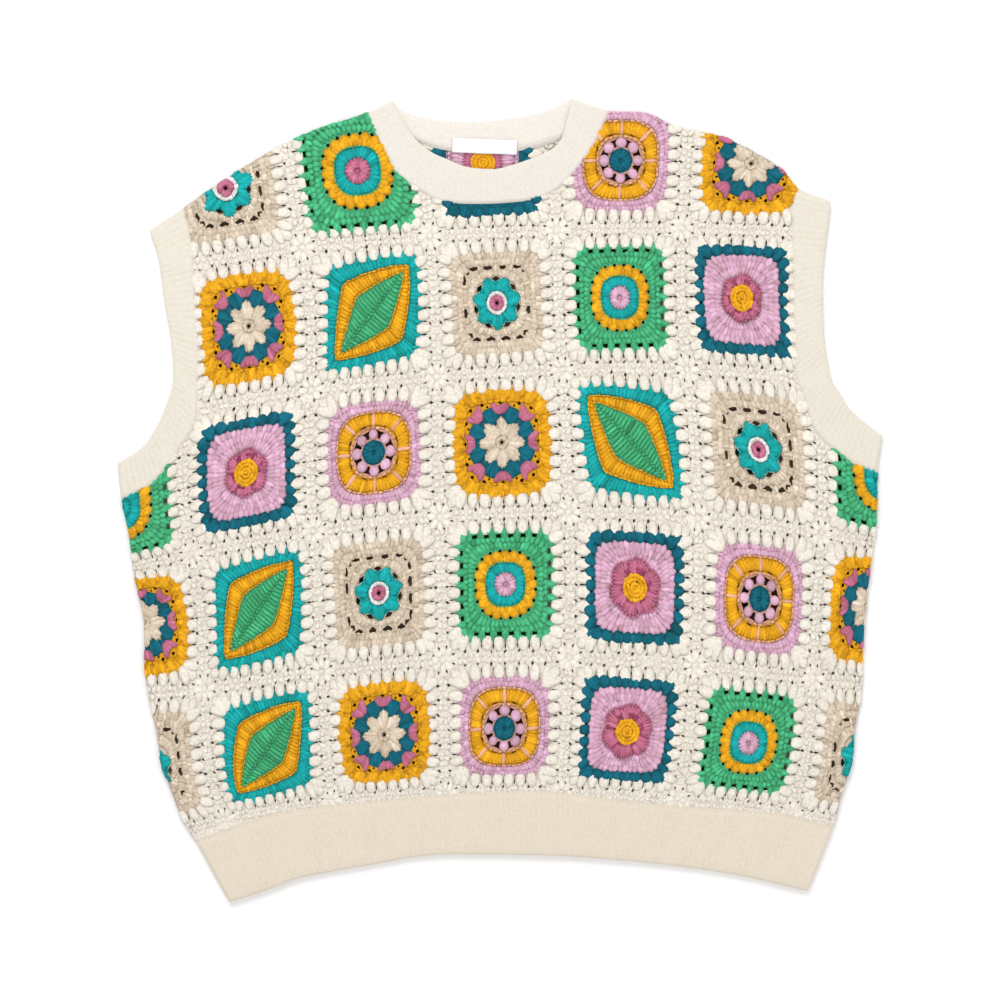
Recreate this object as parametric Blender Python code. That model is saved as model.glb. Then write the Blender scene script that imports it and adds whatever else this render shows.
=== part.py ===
"""Granny-square crochet sweater vest, laid flat with its back panel on the surface.

Lengths below are in millimetres; MM turns them into Blender's metres. X runs across the
chest, Y from hem to neck, and Z up from the surface. The body is a crochet tube that lies
flattened: the back panel's wall is the lower layer, the front panel's wall the upper one,
and they meet at the side and shoulder folds. The rib bands are flattened rings of the same
two layers.
"""
import math
from collections import namedtuple

import bmesh
import bpy
from mathutils import Vector
from mathutils.geometry import delaunay_2d_cdt

COLLECTION = "sweater_vest"
MM = 0.001

# Driving dimensions
WALL = 3.0               # thickness of the crochet cloth and of the rib
LAYER_GAP = 0.3          # between the front layer and the back layer
SEAM_GAP = 0.45          # between a band and the panel it is sewn to
RIB_DEPTH = 0.6          # crest to valley
BODY_RIB_PITCH = 4.5     # hem band
ARM_RIB_PITCH = 5.5
NECK_RIB_PITCH = 4.7
FOLD_ROUND = ((1.2, 0.62), (4.0, 1.0))   # distance in from a fold, share of the full wall there
FOLD_EDGE_WALL = 1.0     # wall left at the very edge of a folded panel
LABEL_SIZE = (53.0, 12.0, 1.0)
LABEL_AT = (-13.0, 289.0)
LABEL_TURN = 1.5         # degrees

BACK_TOP = WALL
FRONT_LOW = WALL + LAYER_GAP
FRONT_TOP = FRONT_LOW + WALL
FOLD_RADIUS = FRONT_TOP / 2     # half the height of the two layers, at a band's fold

# The grid of squares: one row of the table for each row of squares, with the places of five
# grid columns. Columns are counted from the middle one, rows down from the neck.
GridRow = namedtuple("GridRow", "row far_left left middle right far_right")
GRID_COLUMNS = (-3, -2, 0, 2, 3)
GRID = (
    GridRow(-0.6, (-353, 308), (-235, 322), (-10, 347), (217, 341), (340, 335)),
    GridRow(0.0, (-330, 231), (-224, 256), (-8, 277), (206, 276), (314, 270)),
    GridRow(1.0, (-305, 124), (-205, 143), (-2, 162), (198, 166), (297, 155)),
    GridRow(2.0, (-308, -3), (-207, 24), (2, 48), (212, 43), (313, 22)),
    GridRow(3.0, (-290, -99), (-197, -89), (5, -68), (213, -80), (302, -86)),
    GridRow(4.0, (-278, -219), (-189, -203), (4, -186), (203, -198), (289, -212)),
    GridRow(4.5, (-257, -271), (-181, -252), (3, -238), (191, -249), (277, -263)),
)
# The motif of each square, columns -3 to 3: A sunburst, B leaf, C lace, D star, E rose,
# F mandala, and a dot where no square is.
CHART = (".CAEFD.", ".DBCAE.", "AEFDBCA", "DBCAEFD", "CBDFEAC")

# Edges of the flattened body, each a smooth curve through its points
SHOULDER_LEFT = ((-107, 318), (-164, 298), (-212, 271), (-259, 239))
ARM_SEAM_LEFT = ((-259, 239), (-253, 210), (-251, 173), (-248, 132), (-248, 99), (-250, 66),
                 (-259, 49), (-272, 30), (-287, 14), (-309, 3))
SIDE_LEFT = ((-309, 3), (-303, -26), (-298, -61), (-290, -97), (-289, -145), (-280, -189),
             (-276, -216), (-267, -238), (-259, -260), (-247, -279))
HEM_SEAM = ((-247, -279), (-226, -271), (-179, -256), (-124, -249), (-59, -243), (-4, -239),
            (43, -239), (106, -247), (161, -252), (223, -256), (272, -268))
SIDE_RIGHT = ((272, -268), (279, -241), (288, -214), (290, -189), (296, -155), (297, -121),
              (299, -89), (303, -53), (308, -18), (309, 25))
ARM_SEAM_RIGHT = ((309, 25), (292, 31), (276, 42), (259, 58), (251, 83), (244, 103),
                  (243, 125), (242, 157), (241, 220), (240, 239), (245, 255))
SHOULDER_RIGHT = ((245, 255), (228, 273), (189, 295), (168, 301), (142, 307), (121, 317),
                  (89, 319))
NECK_SEAM_FRONT = ((89, 319), (84, 308), (77, 294), (68, 280), (56, 265), (43, 254), (27, 248),
                   (-4, 245), (-36, 245), (-50, 247), (-62, 254), (-80, 266), (-89, 280),
                   (-98, 298), (-107, 318))
NECK_SEAM_BACK = ((89, 319), (85, 313), (74, 306), (56, 299), (25, 290), (-12, 286),
                  (-49, 290), (-74, 299), (-92, 305), (-103, 312), (-107, 318))
# Free edges of the bands, each running the same way as its seam
NECK_FREE_FRONT = ((59, 329), (55, 311), (49, 294), (35, 284), (3, 273), (-12, 272),
                   (-28, 274), (-43, 280), (-56, 286), (-70, 298), (-80, 314), (-87, 328))
NECK_FREE_BACK = ((59, 329), (39, 320), (19, 315), (-11, 311), (-36, 311), (-57, 313),
                  (-78, 319), (-87, 328))
ARM_FREE_LEFT = ((-286, 221), (-279, 199), (-274, 163), (-269, 134), (-267, 99), (-274, 75),
                 (-282, 58), (-292, 44), (-312, 31))
ARM_FREE_RIGHT = ((313, 54), (302, 62), (287, 75), (278, 90), (272, 99), (267, 125),
                  (265, 149), (265, 189), (270, 232), (271, 245))
HEM_FREE = ((-220, -328), (-187, -317), (-162, -308), (-108, -298), (-59, -290), (-14, -289),
            (43, -290), (90, -293), (148, -299), (200, -307), (252, -319))

# Spacing of the points along a panel's edge, and how far the relief stays from it
FOLD_STEP = 11.0
SEAM_STEP = 6.5
CURVE_PARTS = 24         # straight parts between two points of an edge's table
PLAIN_STATION_STEP = 16.0       # between the sections of a band's smooth layer
FOLD_TURNS = 4           # parts of the half turn in which a band goes over its fold
SMOOTH_ANGLE = 40.0      # degrees; sharper edges keep a crease
EDGE_CLEAR = 6.5
HOLE_CLEAR = 1.6

# Relief of the squares. A profile row gives a height over the plain wall at a distance from
# the square's middle; distances are shares of the square's pitch.
Ring = namedtuple("Ring", "reach height points")
FRAME_REACH = 0.36       # the coloured frame's half width
PUFF_REACH = 0.43        # the crest of the cream puffs that join the squares
PUFF_HEIGHT = 1.1
SEAM_REACH = 0.5
MOTIFS = {
    "A": (Ring(0.0, 1.0, 1), Ring(0.10, 0.9, 8), Ring(0.165, 0.5, 8), Ring(0.235, 0.9, 12)),
    "B": (Ring(0.0, 1.5, 1), Ring(0.10, 1.2, 8), Ring(0.22, 0.5, 8)),
    "C": (Ring(0.0, 0.3, 1), Ring(0.08, 1.2, 8), Ring(0.18, 0.9, 8)),
    "D": (Ring(0.0, 0.1, 1), Ring(0.08, 1.3, 10), Ring(0.18, 0.5, 10), Ring(0.27, 1.2, 8)),
    "E": (Ring(0.0, 3.0, 1), Ring(0.07, 2.4, 8), Ring(0.105, 1.1, 8), Ring(0.16, 2.3, 8),
          Ring(0.21, 0.5, 8)),
    "F": (Ring(0.0, 0.9, 1), Ring(0.075, 0.6, 8), Ring(0.13, 1.9, 8), Ring(0.18, 0.5, 8),
          Ring(0.25, 1.2, 8)),
}
FRAME_HEIGHT = 0.6

# Gaps of the lace squares: four to a side, and one in each rosette where four squares meet
LACE_SLOTS = (-0.205, -0.068, 0.068, 0.205)
LACE_SLOT_REACH = (0.282, 0.334)
LACE_SLOT_HALF = 0.046
ROSETTE_HALF = 0.03


def smooth_curve(points, step):
    """Points about a step apart on the Catmull-Rom curve through the given ones."""
    points = [Vector(point) for point in points]
    before = points[0] * 2 - points[1]
    after = points[-1] * 2 - points[-2]
    knots = [before] + points + [after]
    dense = []
    for i in range(1, len(knots) - 2):
        for k in range(CURVE_PARTS):
            dense.append(catmull_rom(knots[i - 1:i + 3], k / CURVE_PARTS))
    dense.append(points[-1])
    lengths = [0.0]
    for start, end in zip(dense, dense[1:]):
        lengths.append(lengths[-1] + (end - start).length)
    count = max(2, round(lengths[-1] / step))
    return [point_along(dense, lengths, lengths[-1] * i / count) for i in range(count + 1)]


def catmull_rom(four, t):
    """Point at t between the second and the third of four knots."""
    a, b, c, d = four
    return (b * 2 + (c - a) * t + (a * 2 - b * 5 + c * 4 - d) * t ** 2
            + (b * 3 - a - c * 3 + d) * t ** 3) / 2


def point_along(dense, lengths, distance):
    """Point of a polyline at a distance from its start."""
    for i in range(1, len(dense)):
        if lengths[i] >= distance:
            share = (distance - lengths[i - 1]) / (lengths[i] - lengths[i - 1])
            return dense[i - 1].lerp(dense[i], share)
    return dense[-1].copy()


def across(values, column):
    """Value at a grid column: the polynomial through the five columns of a grid row."""
    total = 0.0
    for i, own in enumerate(GRID_COLUMNS):
        weight = 1.0
        for other in GRID_COLUMNS:
            if other != own:
                weight *= (column - other) / (own - other)
        total += values[i] * weight
    return total


def down(values, row):
    """Value at a grid row: a smooth Hermite curve through the rows of the grid."""
    rows = [entry.row for entry in GRID]
    last = len(rows) - 1
    i = max(0, min(last - 1, sum(1 for known in rows if known <= row) - 1))

    def slope(k):
        low, high = max(0, k - 1), min(last, k + 1)
        return (values[high] - values[low]) / (rows[high] - rows[low])

    span = rows[i + 1] - rows[i]
    t = (row - rows[i]) / span
    return ((2 * t ** 3 - 3 * t ** 2 + 1) * values[i] + (t ** 3 - 2 * t ** 2 + t) * span * slope(i)
            + (3 * t ** 2 - 2 * t ** 3) * values[i + 1] + (t ** 3 - t ** 2) * span * slope(i + 1))


def on_grid(column, row):
    """Place of a grid coordinate on the flattened body."""
    xs = [across([place[0] for place in entry[1:]], column) for entry in GRID]
    ys = [across([place[1] for place in entry[1:]], column) for entry in GRID]
    return Vector((down(xs, row), down(ys, row)))


def inside(point, polygon):
    """True if a point lies within a polygon."""
    odd = False
    for start, end in zip(polygon, polygon[1:] + polygon[:1]):
        if (start.y > point.y) != (end.y > point.y):
            cross = start.x + (point.y - start.y) * (end.x - start.x) / (end.y - start.y)
            if point.x < cross:
                odd = not odd
    return odd


def clearance(point, polygon):
    """Distance from a point to the nearest side of a polygon."""
    best = math.inf
    for start, end in zip(polygon, polygon[1:] + polygon[:1]):
        side = end - start
        share = max(0.0, min(1.0, (point - start).dot(side) / side.length_squared))
        best = min(best, (point - start - side * share).length)
    return best


def square_cells():
    """Column, row and motif letter of each square of the chart."""
    for row, letters in enumerate(CHART):
        for index, letter in enumerate(letters):
            if letter != ".":
                yield index - 3, row, letter


def lace_gaps():
    """Outlines of the gaps in the lace squares, in grid coordinates."""
    near, far = LACE_SLOT_REACH
    for column, row, letter in square_cells():
        if letter != "C":
            continue
        for quarter in range(4):
            turn = quarter * math.pi / 2
            for middle in LACE_SLOTS:
                corners = ((middle - LACE_SLOT_HALF * 0.5, near),
                           (middle + LACE_SLOT_HALF * 0.5, near),
                           (middle + LACE_SLOT_HALF, far), (middle - LACE_SLOT_HALF, far))
                yield [(column + x * math.cos(turn) - y * math.sin(turn),
                        row + x * math.sin(turn) + y * math.cos(turn)) for x, y in corners]


def rosette_gaps():
    """Outlines of the gaps in the rosettes where four squares meet, in grid coordinates."""
    half = ROSETTE_HALF
    for row in range(5):
        for index in range(6):
            column = index - 2.5
            yield [(column - half, row - 0.5), (column, row - 0.5 - half),
                   (column + half, row - 0.5), (column, row - 0.5 + half)]


def cut_gaps(outline):
    """The gaps that lie well inside a panel, as polygons on the flattened body."""
    gaps = []
    for shape in list(lace_gaps()) + list(rosette_gaps()):
        gap = [on_grid(column, row) for column, row in shape]
        if all(inside(p, outline) and clearance(p, outline) > EDGE_CLEAR for p in gap):
            gaps.append(gap)
    return gaps


def relief_places(letter, column, row):
    """Grid coordinates and heights of the points that shape one square."""
    for ring in MOTIFS[letter]:
        for k in range(ring.points):
            angle = 2 * math.pi * k / ring.points
            yield (column + ring.reach * math.sin(angle), row - ring.reach * math.cos(angle),
                   ring.height)
    for reach, height in ((FRAME_REACH, FRAME_HEIGHT), (PUFF_REACH, PUFF_HEIGHT)):
        for x, y in ((-1, -1), (0, -1), (1, -1), (1, 0), (1, 1), (0, 1), (-1, 1), (-1, 0)):
            yield column + x * reach, row + y * reach, height


def relief_points(outline, gaps):
    """Points of the front's outer face with their heights, clear of edges and gaps."""
    places = []
    for column, row, letter in square_cells():
        places.extend(relief_places(letter, column, row))
        for x, y in ((SEAM_REACH, 0.0), (0.0, -SEAM_REACH), (SEAM_REACH, -SEAM_REACH)):
            places.append((column + x, row + y, 0.0))
    points = []
    for column, row, height in places:
        point = on_grid(column, row)
        if not inside(point, outline) or clearance(point, outline) < EDGE_CLEAR:
            continue
        if any((point - gap[0]).length < 20 and (inside(point, gap)
               or clearance(point, gap) < HOLE_CLEAR) for gap in gaps):
            continue
        points.append((point, height))
    return points


def panel_outline(edges):
    """Closed outline of a panel, with True at each point that lies on a fold."""
    outline = []
    for curve, folded in edges:
        points = smooth_curve(curve, FOLD_STEP if folded else SEAM_STEP)
        outline.extend((point, folded) for point in points[:-1])
    closed = []
    for i, (point, folded) in enumerate(outline):
        closed.append((point, folded and outline[i - 1][1]))
    return closed


def inward(outline, index):
    """Unit direction from an outline point into the panel."""
    before = outline[index - 1][0]
    after = outline[(index + 1) % len(outline)][0]
    along = (after - before).normalized()
    return Vector((-along.y, along.x))


def fold_rings(outline):
    """Points just inside the folds, each with the share of the wall that stands there."""
    plain = [point for point, _ in outline]
    for index, (point, folded) in enumerate(outline):
        if not folded:
            continue
        for distance, share in FOLD_ROUND:
            place = point + inward(outline, index) * distance
            if inside(place, plain):
                yield place, share


def triangles(points, polygons):
    """Constrained triangles over points and closed polygons: a rim, then the holes in it."""
    places = list(points)
    sides = []
    for polygon in polygons:
        first = len(places)
        places.extend(polygon)
        for k in range(len(polygon)):
            sides.append((first + k, first + (k + 1) % len(polygon)))
    result = delaunay_2d_cdt(places, sides, [], 1, 1e-5, True)
    verts, faces, origins = result[0], result[2], result[3]
    rim, holes = polygons[0], polygons[1:]
    kept = []
    for face in faces:
        middle = (verts[face[0]] + verts[face[1]] + verts[face[2]]) / 3
        if inside(middle, rim) and not any(inside(middle, hole) for hole in holes):
            kept.append([origins[index][0] for index in face])
    return kept


def add_object(name, mesh_builder, color, roughness):
    """New object of one closed body, in its own material, in the vest's collection."""
    body = bmesh.new()
    mesh_builder(body)
    bmesh.ops.recalc_face_normals(body, faces=body.faces)
    bmesh.ops.scale(body, vec=(MM, MM, MM), verts=body.verts)
    mesh = bpy.data.meshes.new(name)
    body.to_mesh(mesh)
    body.free()
    mesh.materials.append(cloth_material(name, color, roughness))
    mesh.shade_smooth()
    mesh.set_sharp_from_angle(angle=math.radians(SMOOTH_ANGLE))
    item = bpy.data.objects.new(name, mesh)
    bpy.data.collections[COLLECTION].objects.link(item)
    return item


def cloth_material(name, color, roughness):
    """Plain Principled material of a piece."""
    material = bpy.data.materials.new(name)
    material.use_nodes = True
    shader = material.node_tree.nodes["Principled BSDF"]
    shader.inputs["Base Color"].default_value = (*color, 1.0)
    shader.inputs["Roughness"].default_value = roughness
    shader.inputs["Metallic"].default_value = 0.0
    return material


def skin(body, points, levels, polygons):
    """One face of a panel over its points, at the given levels; returns its vertices."""
    verts = [body.verts.new((point.x, point.y, z)) for point, z in zip(points, levels)]
    loose = points[:len(points) - sum(len(polygon) for polygon in polygons)]
    for corners in triangles(loose, polygons):
        body.faces.new([verts[index] for index in corners])
    return verts


def panel(body, outline, gaps, relief, front):
    """Closed wall of a panel: two faces, and sides round the outline and the gaps.

    A fold's edge is thinner, and rounded on the side away from the other panel.
    """
    rim = [point for point, _ in outline]
    polygons = [rim] + gaps
    edge_points = [point for polygon in polygons for point in polygon]
    rings = list(fold_rings(outline))
    outer, inner = (FRONT_TOP, FRONT_LOW) if front else (0.0, BACK_TOP)
    thick = outer - inner

    outer_points = [point for point, _ in relief] + [point for point, _ in rings] + edge_points
    outer_levels = [outer + height for _, height in relief]
    outer_levels += [inner + thick * share for _, share in rings]
    edge_share = FOLD_EDGE_WALL / WALL
    outer_levels += [inner + thick * (edge_share if folded else 1.0) for _, folded in outline]
    outer_levels += [outer] * (len(edge_points) - len(rim))
    outer_verts = skin(body, outer_points, outer_levels, polygons)
    inner_verts = skin(body, edge_points, [inner] * len(edge_points), polygons)

    start = len(outer_points) - len(edge_points)
    for polygon in polygons:
        count = len(polygon)
        base = start - (len(outer_points) - len(edge_points))
        for k in range(count):
            after = (k + 1) % count
            body.faces.new((outer_verts[start + k], outer_verts[start + after],
                            inner_verts[base + after], inner_verts[base + k]))
        start += count


def even_points(curve, count):
    """Evenly spaced points on a smooth curve, up to where its two ends turn over a fold."""
    dense = smooth_curve(curve, 1.0)
    lengths = [0.0]
    for start, end in zip(dense, dense[1:]):
        lengths.append(lengths[-1] + (end - start).length)
    span = lengths[-1] - 2 * FOLD_RADIUS
    return [point_along(dense, lengths, FOLD_RADIUS + span * i / (count - 1))
            for i in range(count)]


def moved_off_seam(points, frees):
    """Seam points moved towards the free edge by the seam gap, at right angles to the seam."""
    moved = []
    for i, point in enumerate(points):
        along = points[min(i + 1, len(points) - 1)] - points[max(i - 1, 0)]
        side = Vector((-along.y, along.x)).normalized()
        if side.dot(frees[i] - point) < 0:
            side = -side
        moved.append(point + side * SEAM_GAP)
    return moved


def layer_sections(seam, free, pitch, ribs, layer):
    """Wall sections across one layer of a band, as rows of four corners.

    The corners are seam outer, free outer, free inner and seam inner.
    """
    length = sum((Vector(b) - Vector(a)).length for a, b in zip(seam, seam[1:]))
    count = 2 * round(length / pitch) + 1 if ribs else round(length / PLAIN_STATION_STEP)
    frees = even_points(free, count)
    seams = moved_off_seam(even_points(seam, count), frees)
    outer, inner = (FRONT_TOP, FRONT_LOW) if layer == "front" else (0.0, BACK_TOP)
    sections = []
    for i, (near, far) in enumerate(zip(seams, frees)):
        valley = RIB_DEPTH if ribs and i % 2 else 0.0
        outer_level, inner_level = outer, inner
        if layer == "front":
            outer_level -= valley
        else:
            inner_level -= valley
        shy = far.lerp(near, WALL / 3 / (far - near).length)
        sections.append(((near.x, near.y, outer_level), (shy.x, shy.y, outer_level),
                         (far.x, far.y, inner_level), (near.x, near.y, inner_level)))
    return sections


def fold_sections(top, bottom, outward):
    """Wall sections round a fold, between the front layer's last and the back layer's first."""
    sections = []
    for step in range(1, FOLD_TURNS):
        angle = math.pi / 2 - math.pi * step / FOLD_TURNS
        section = []
        for high, low in zip(top, bottom):
            middle = (Vector(high) + Vector(low)) / 2
            rise = (high[2] - low[2]) / 2
            place = middle + outward * rise * math.cos(angle)
            place.z = middle.z + rise * math.sin(angle)
            section.append(tuple(place))
        sections.append(section)
    return sections


def fold_direction(section, previous):
    """Level direction in which a band runs over its fold."""
    fold_line = Vector(section[1]) - Vector(section[0])
    outward = Vector((-fold_line.y, fold_line.x, 0.0)).normalized()
    run = Vector(section[0]) - Vector(previous[0])
    return outward if outward.dot(run) > 0 else -outward


def band(body, seam, free, back_seam, back_free, pitch, back_ribs):
    """Rib band: a ring of wall sections, flattened into a front and a back layer."""
    front = layer_sections(seam, free, pitch, True, "front")
    back = layer_sections(back_seam, back_free, pitch, back_ribs, "back")
    back.reverse()
    ring = list(front)
    ring += fold_sections(front[-1], back[0], fold_direction(front[-1], front[-2]))
    ring += back
    ring += reversed(fold_sections(front[0], back[-1], fold_direction(front[0], front[1])))
    rows = [[body.verts.new(corner) for corner in section] for section in ring]
    for row, after in zip(rows, rows[1:] + rows[:1]):
        for k in range(4):
            following = (k + 1) % 4
            body.faces.new((row[k], row[following], after[following], after[k]))
    bmesh.ops.triangulate(body, faces=body.faces)


def label(body):
    """Plain tape on the inside of the back neck."""
    width, height, thickness = LABEL_SIZE
    bmesh.ops.create_cube(body, size=1.0)
    bmesh.ops.scale(body, vec=(width, height, thickness), verts=body.verts)
    turn = math.radians(LABEL_TURN)
    for vert in body.verts:
        x, y, z = vert.co
        vert.co = (LABEL_AT[0] + x * math.cos(turn) - y * math.sin(turn),
                   LABEL_AT[1] + x * math.sin(turn) + y * math.cos(turn),
                   z + FRONT_LOW + thickness / 2)


def body_edges(neck_seam):
    """Edges round a panel, anticlockwise, each with whether it is a fold."""
    return ((SHOULDER_LEFT, True), (ARM_SEAM_LEFT, False), (SIDE_LEFT, True),
            (HEM_SEAM, False), (SIDE_RIGHT, True), (ARM_SEAM_RIGHT, False),
            (SHOULDER_RIGHT, True), (neck_seam, False))


def centre_on_origin(items):
    """Move the meshes so that their box stands on the origin, over the middle of its base."""
    corners = [vert.co for item in items for vert in item.data.vertices]
    low = [min(corner[axis] for corner in corners) for axis in range(3)]
    high = [max(corner[axis] for corner in corners) for axis in range(3)]
    shift = Vector((-(low[0] + high[0]) / 2, -(low[1] + high[1]) / 2, -low[2]))
    for item in items:
        for vert in item.data.vertices:
            vert.co += shift


def main():
    """Clear the scene and build the vest."""
    for item in list(bpy.data.objects):
        bpy.data.objects.remove(item, do_unlink=True)
    collection = bpy.data.collections.new(COLLECTION)
    bpy.context.scene.collection.children.link(collection)

    front_outline = panel_outline(body_edges(NECK_SEAM_FRONT))
    back_outline = panel_outline(body_edges(NECK_SEAM_BACK))
    front_gaps = cut_gaps([point for point, _ in front_outline])
    back_gaps = cut_gaps([point for point, _ in back_outline])
    relief = relief_points([point for point, _ in front_outline], front_gaps)

    cream = (0.86, 0.80, 0.70)
    items = [
        add_object("front_panel",
                   lambda body: panel(body, front_outline, front_gaps, relief, True),
                   (0.80, 0.56, 0.34), 0.9),
        add_object("back_panel",
                   lambda body: panel(body, back_outline, back_gaps, [], False),
                   (0.70, 0.52, 0.36), 0.9),
        add_object("neckband",
                   lambda body: band(body, NECK_SEAM_FRONT, NECK_FREE_FRONT, NECK_SEAM_BACK,
                                     NECK_FREE_BACK, NECK_RIB_PITCH, True), cream, 0.85),
        add_object("armband_left",
                   lambda body: band(body, ARM_SEAM_LEFT, ARM_FREE_LEFT, ARM_SEAM_LEFT,
                                     ARM_FREE_LEFT, ARM_RIB_PITCH, False), cream, 0.85),
        add_object("armband_right",
                   lambda body: band(body, ARM_SEAM_RIGHT, ARM_FREE_RIGHT, ARM_SEAM_RIGHT,
                                     ARM_FREE_RIGHT, ARM_RIB_PITCH, False), cream, 0.85),
        add_object("hem_band",
                   lambda body: band(body, HEM_SEAM, HEM_FREE, HEM_SEAM, HEM_FREE,
                                     BODY_RIB_PITCH, False), (0.80, 0.72, 0.60), 0.85),
        add_object("neck_label", label, (0.90, 0.90, 0.90), 0.6),
    ]
    centre_on_origin(items)


main()
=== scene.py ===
"""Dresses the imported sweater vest: crochet squares, their joining, rib bands and label.

The vest lies flat on its back. Lengths in the classes below are millimetres on the cloth;
Cloth turns them into places in the frame, in metres, and wraps them over the folds.
"""
import logging
import math
from collections import defaultdict
from dataclasses import dataclass, field, replace
from enum import Enum

import bpy
import numpy as np
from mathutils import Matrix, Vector
from mathutils.geometry import delaunay_2d_cdt


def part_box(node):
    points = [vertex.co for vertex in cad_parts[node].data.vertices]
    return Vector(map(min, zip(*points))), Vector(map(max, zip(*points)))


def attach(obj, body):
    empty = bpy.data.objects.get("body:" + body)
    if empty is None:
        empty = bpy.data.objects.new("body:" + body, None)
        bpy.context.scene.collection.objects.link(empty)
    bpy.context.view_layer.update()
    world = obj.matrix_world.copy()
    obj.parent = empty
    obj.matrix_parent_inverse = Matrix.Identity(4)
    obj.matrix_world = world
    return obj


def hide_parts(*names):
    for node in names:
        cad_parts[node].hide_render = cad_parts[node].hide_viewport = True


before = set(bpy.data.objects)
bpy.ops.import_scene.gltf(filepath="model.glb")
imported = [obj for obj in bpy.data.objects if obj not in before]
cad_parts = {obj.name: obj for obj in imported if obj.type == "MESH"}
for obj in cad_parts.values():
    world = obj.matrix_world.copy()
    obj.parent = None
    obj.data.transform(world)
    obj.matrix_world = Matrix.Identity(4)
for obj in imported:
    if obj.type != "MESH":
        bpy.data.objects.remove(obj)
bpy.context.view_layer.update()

MM = 0.001
LOG = logging.getLogger("sweater_vest")

# Heights of the flattened body, as in the solids
WALL = 3.0
LAYER_GAP = 0.3
MIDDLE = WALL + LAYER_GAP / 2            # height of the plane between the two layers
LAYER_RISE = (WALL + LAYER_GAP) / 2      # from that plane to the middle of a layer's wall
INNER_REACH = WALL / 2                   # the cloth's half thickness on its inner side
OPEN_REACH = 2.3                         # the same of the back where the neck leaves it open
PAINTED_SHADE_CREST = -8.0                              # crest that paints deep shade on the covered side inside the body
BACK_SHIFT = -5.5                        # how far the back's squares lie from the front's
RIPPLE = 0.35                            # height of the front's slight waves
LAST_TURN = 1.9                          # how far cloth wraps round a fold, in radians
FLOOR_GAP = 0.05                         # lowest place of the cloth over the floor
BACK_CREST = LAYER_RISE - 0.15           # how far stitches stand out below
CURVE_STEP = 4.0                         # spacing of the points on folds and seams
FOLD_REACH = 12.0                        # how far from a fold its cloth is looked for
FAR = 1e3                                # stands for any distance that isn't needed
ON_EDGE = 0.3                            # nearer than this a place counts as on the edge
PORTION = 20000                          # places worked on at a time

# The grid of squares: each row of the table is a row of squares, with the places of five of
# its columns. Columns are counted from the middle one, rows down from the neck.
PITCH = 102.0
GRID_COLUMNS = (-3, -2, 0, 2, 3)
GRID_ROWS = (-0.6, 0.0, 1.0, 2.0, 3.0, 4.0, 4.5)
GRID_PLACES = (
    ((-353, 308), (-235, 322), (-10, 347), (217, 341), (340, 335)),
    ((-330, 231), (-224, 256), (-8, 277), (206, 276), (314, 270)),
    ((-305, 124), (-205, 143), (-2, 162), (198, 166), (297, 155)),
    ((-311, -8), (-207, 23), (2, 48), (212, 42), (315, 18)),
    ((-290, -99), (-197, -89), (5, -68), (213, -80), (302, -86)),
    ((-287, -219), (-190, -203), (4, -186), (204, -198), (296, -212)),
    ((-266, -271), (-182, -252), (3, -238), (192, -249), (284, -263)),
)

# Edges of the flattened vest, as in the solids
SHOULDER_LEFT = ((-107, 318), (-164, 298), (-212, 271), (-259, 239))
ARM_SEAM_LEFT = ((-259, 239), (-253, 210), (-251, 173), (-248, 132), (-248, 99), (-250, 66),
                 (-259, 49), (-272, 30), (-287, 14), (-309, 3))
SIDE_LEFT = ((-309, 3), (-303, -26), (-298, -61), (-290, -97), (-289, -145), (-280, -189),
             (-276, -216), (-267, -238), (-259, -260), (-247, -279))
HEM_SEAM = ((-247, -279), (-226, -271), (-179, -256), (-124, -249), (-59, -243), (-4, -239),
            (43, -239), (106, -247), (161, -252), (223, -256), (272, -268))
SIDE_RIGHT = ((272, -268), (279, -241), (288, -214), (290, -189), (296, -155), (297, -121),
              (299, -89), (303, -53), (308, -18), (309, 25))
ARM_SEAM_RIGHT = ((309, 25), (292, 31), (276, 42), (259, 58), (251, 83), (244, 103),
                  (243, 125), (242, 157), (241, 220), (240, 239), (245, 255))
SHOULDER_RIGHT = ((245, 255), (228, 273), (189, 295), (168, 301), (142, 307), (121, 317),
                  (89, 319))
NECK_SEAM_FRONT = ((89, 319), (84, 308), (77, 294), (68, 280), (56, 265), (43, 254), (27, 248),
                   (-4, 245), (-36, 245), (-50, 247), (-62, 254), (-80, 266), (-89, 280),
                   (-98, 298), (-107, 318))
NECK_SEAM_BACK = ((89, 319), (85, 313), (74, 306), (56, 299), (25, 290), (-12, 286),
                  (-49, 290), (-74, 299), (-92, 305), (-103, 312), (-107, 318))
NECK_FREE_FRONT = ((59, 329), (55, 311), (49, 294), (35, 284), (3, 273), (-12, 272),
                   (-28, 274), (-43, 280), (-56, 286), (-70, 298), (-80, 314), (-87, 328))
NECK_FREE_BACK = ((59, 329), (39, 320), (19, 315), (-11, 311), (-36, 311), (-57, 313),
                  (-78, 319), (-87, 328))
ARM_FREE_LEFT = ((-286, 221), (-279, 199), (-274, 163), (-269, 134), (-267, 99), (-274, 75),
                 (-282, 58), (-292, 44), (-312, 31))
ARM_FREE_RIGHT = ((313, 54), (302, 62), (287, 75), (278, 90), (272, 99), (267, 125),
                  (265, 149), (265, 189), (270, 232), (271, 245))
HEM_FREE = ((-220, -328), (-187, -317), (-162, -308), (-108, -298), (-59, -290), (-14, -289),
            (43, -290), (90, -293), (148, -299), (200, -307), (252, -319))


class Layer(Enum):
    """The upper and the lower cloth of the flattened body."""

    FRONT = 1
    BACK = -1


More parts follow.
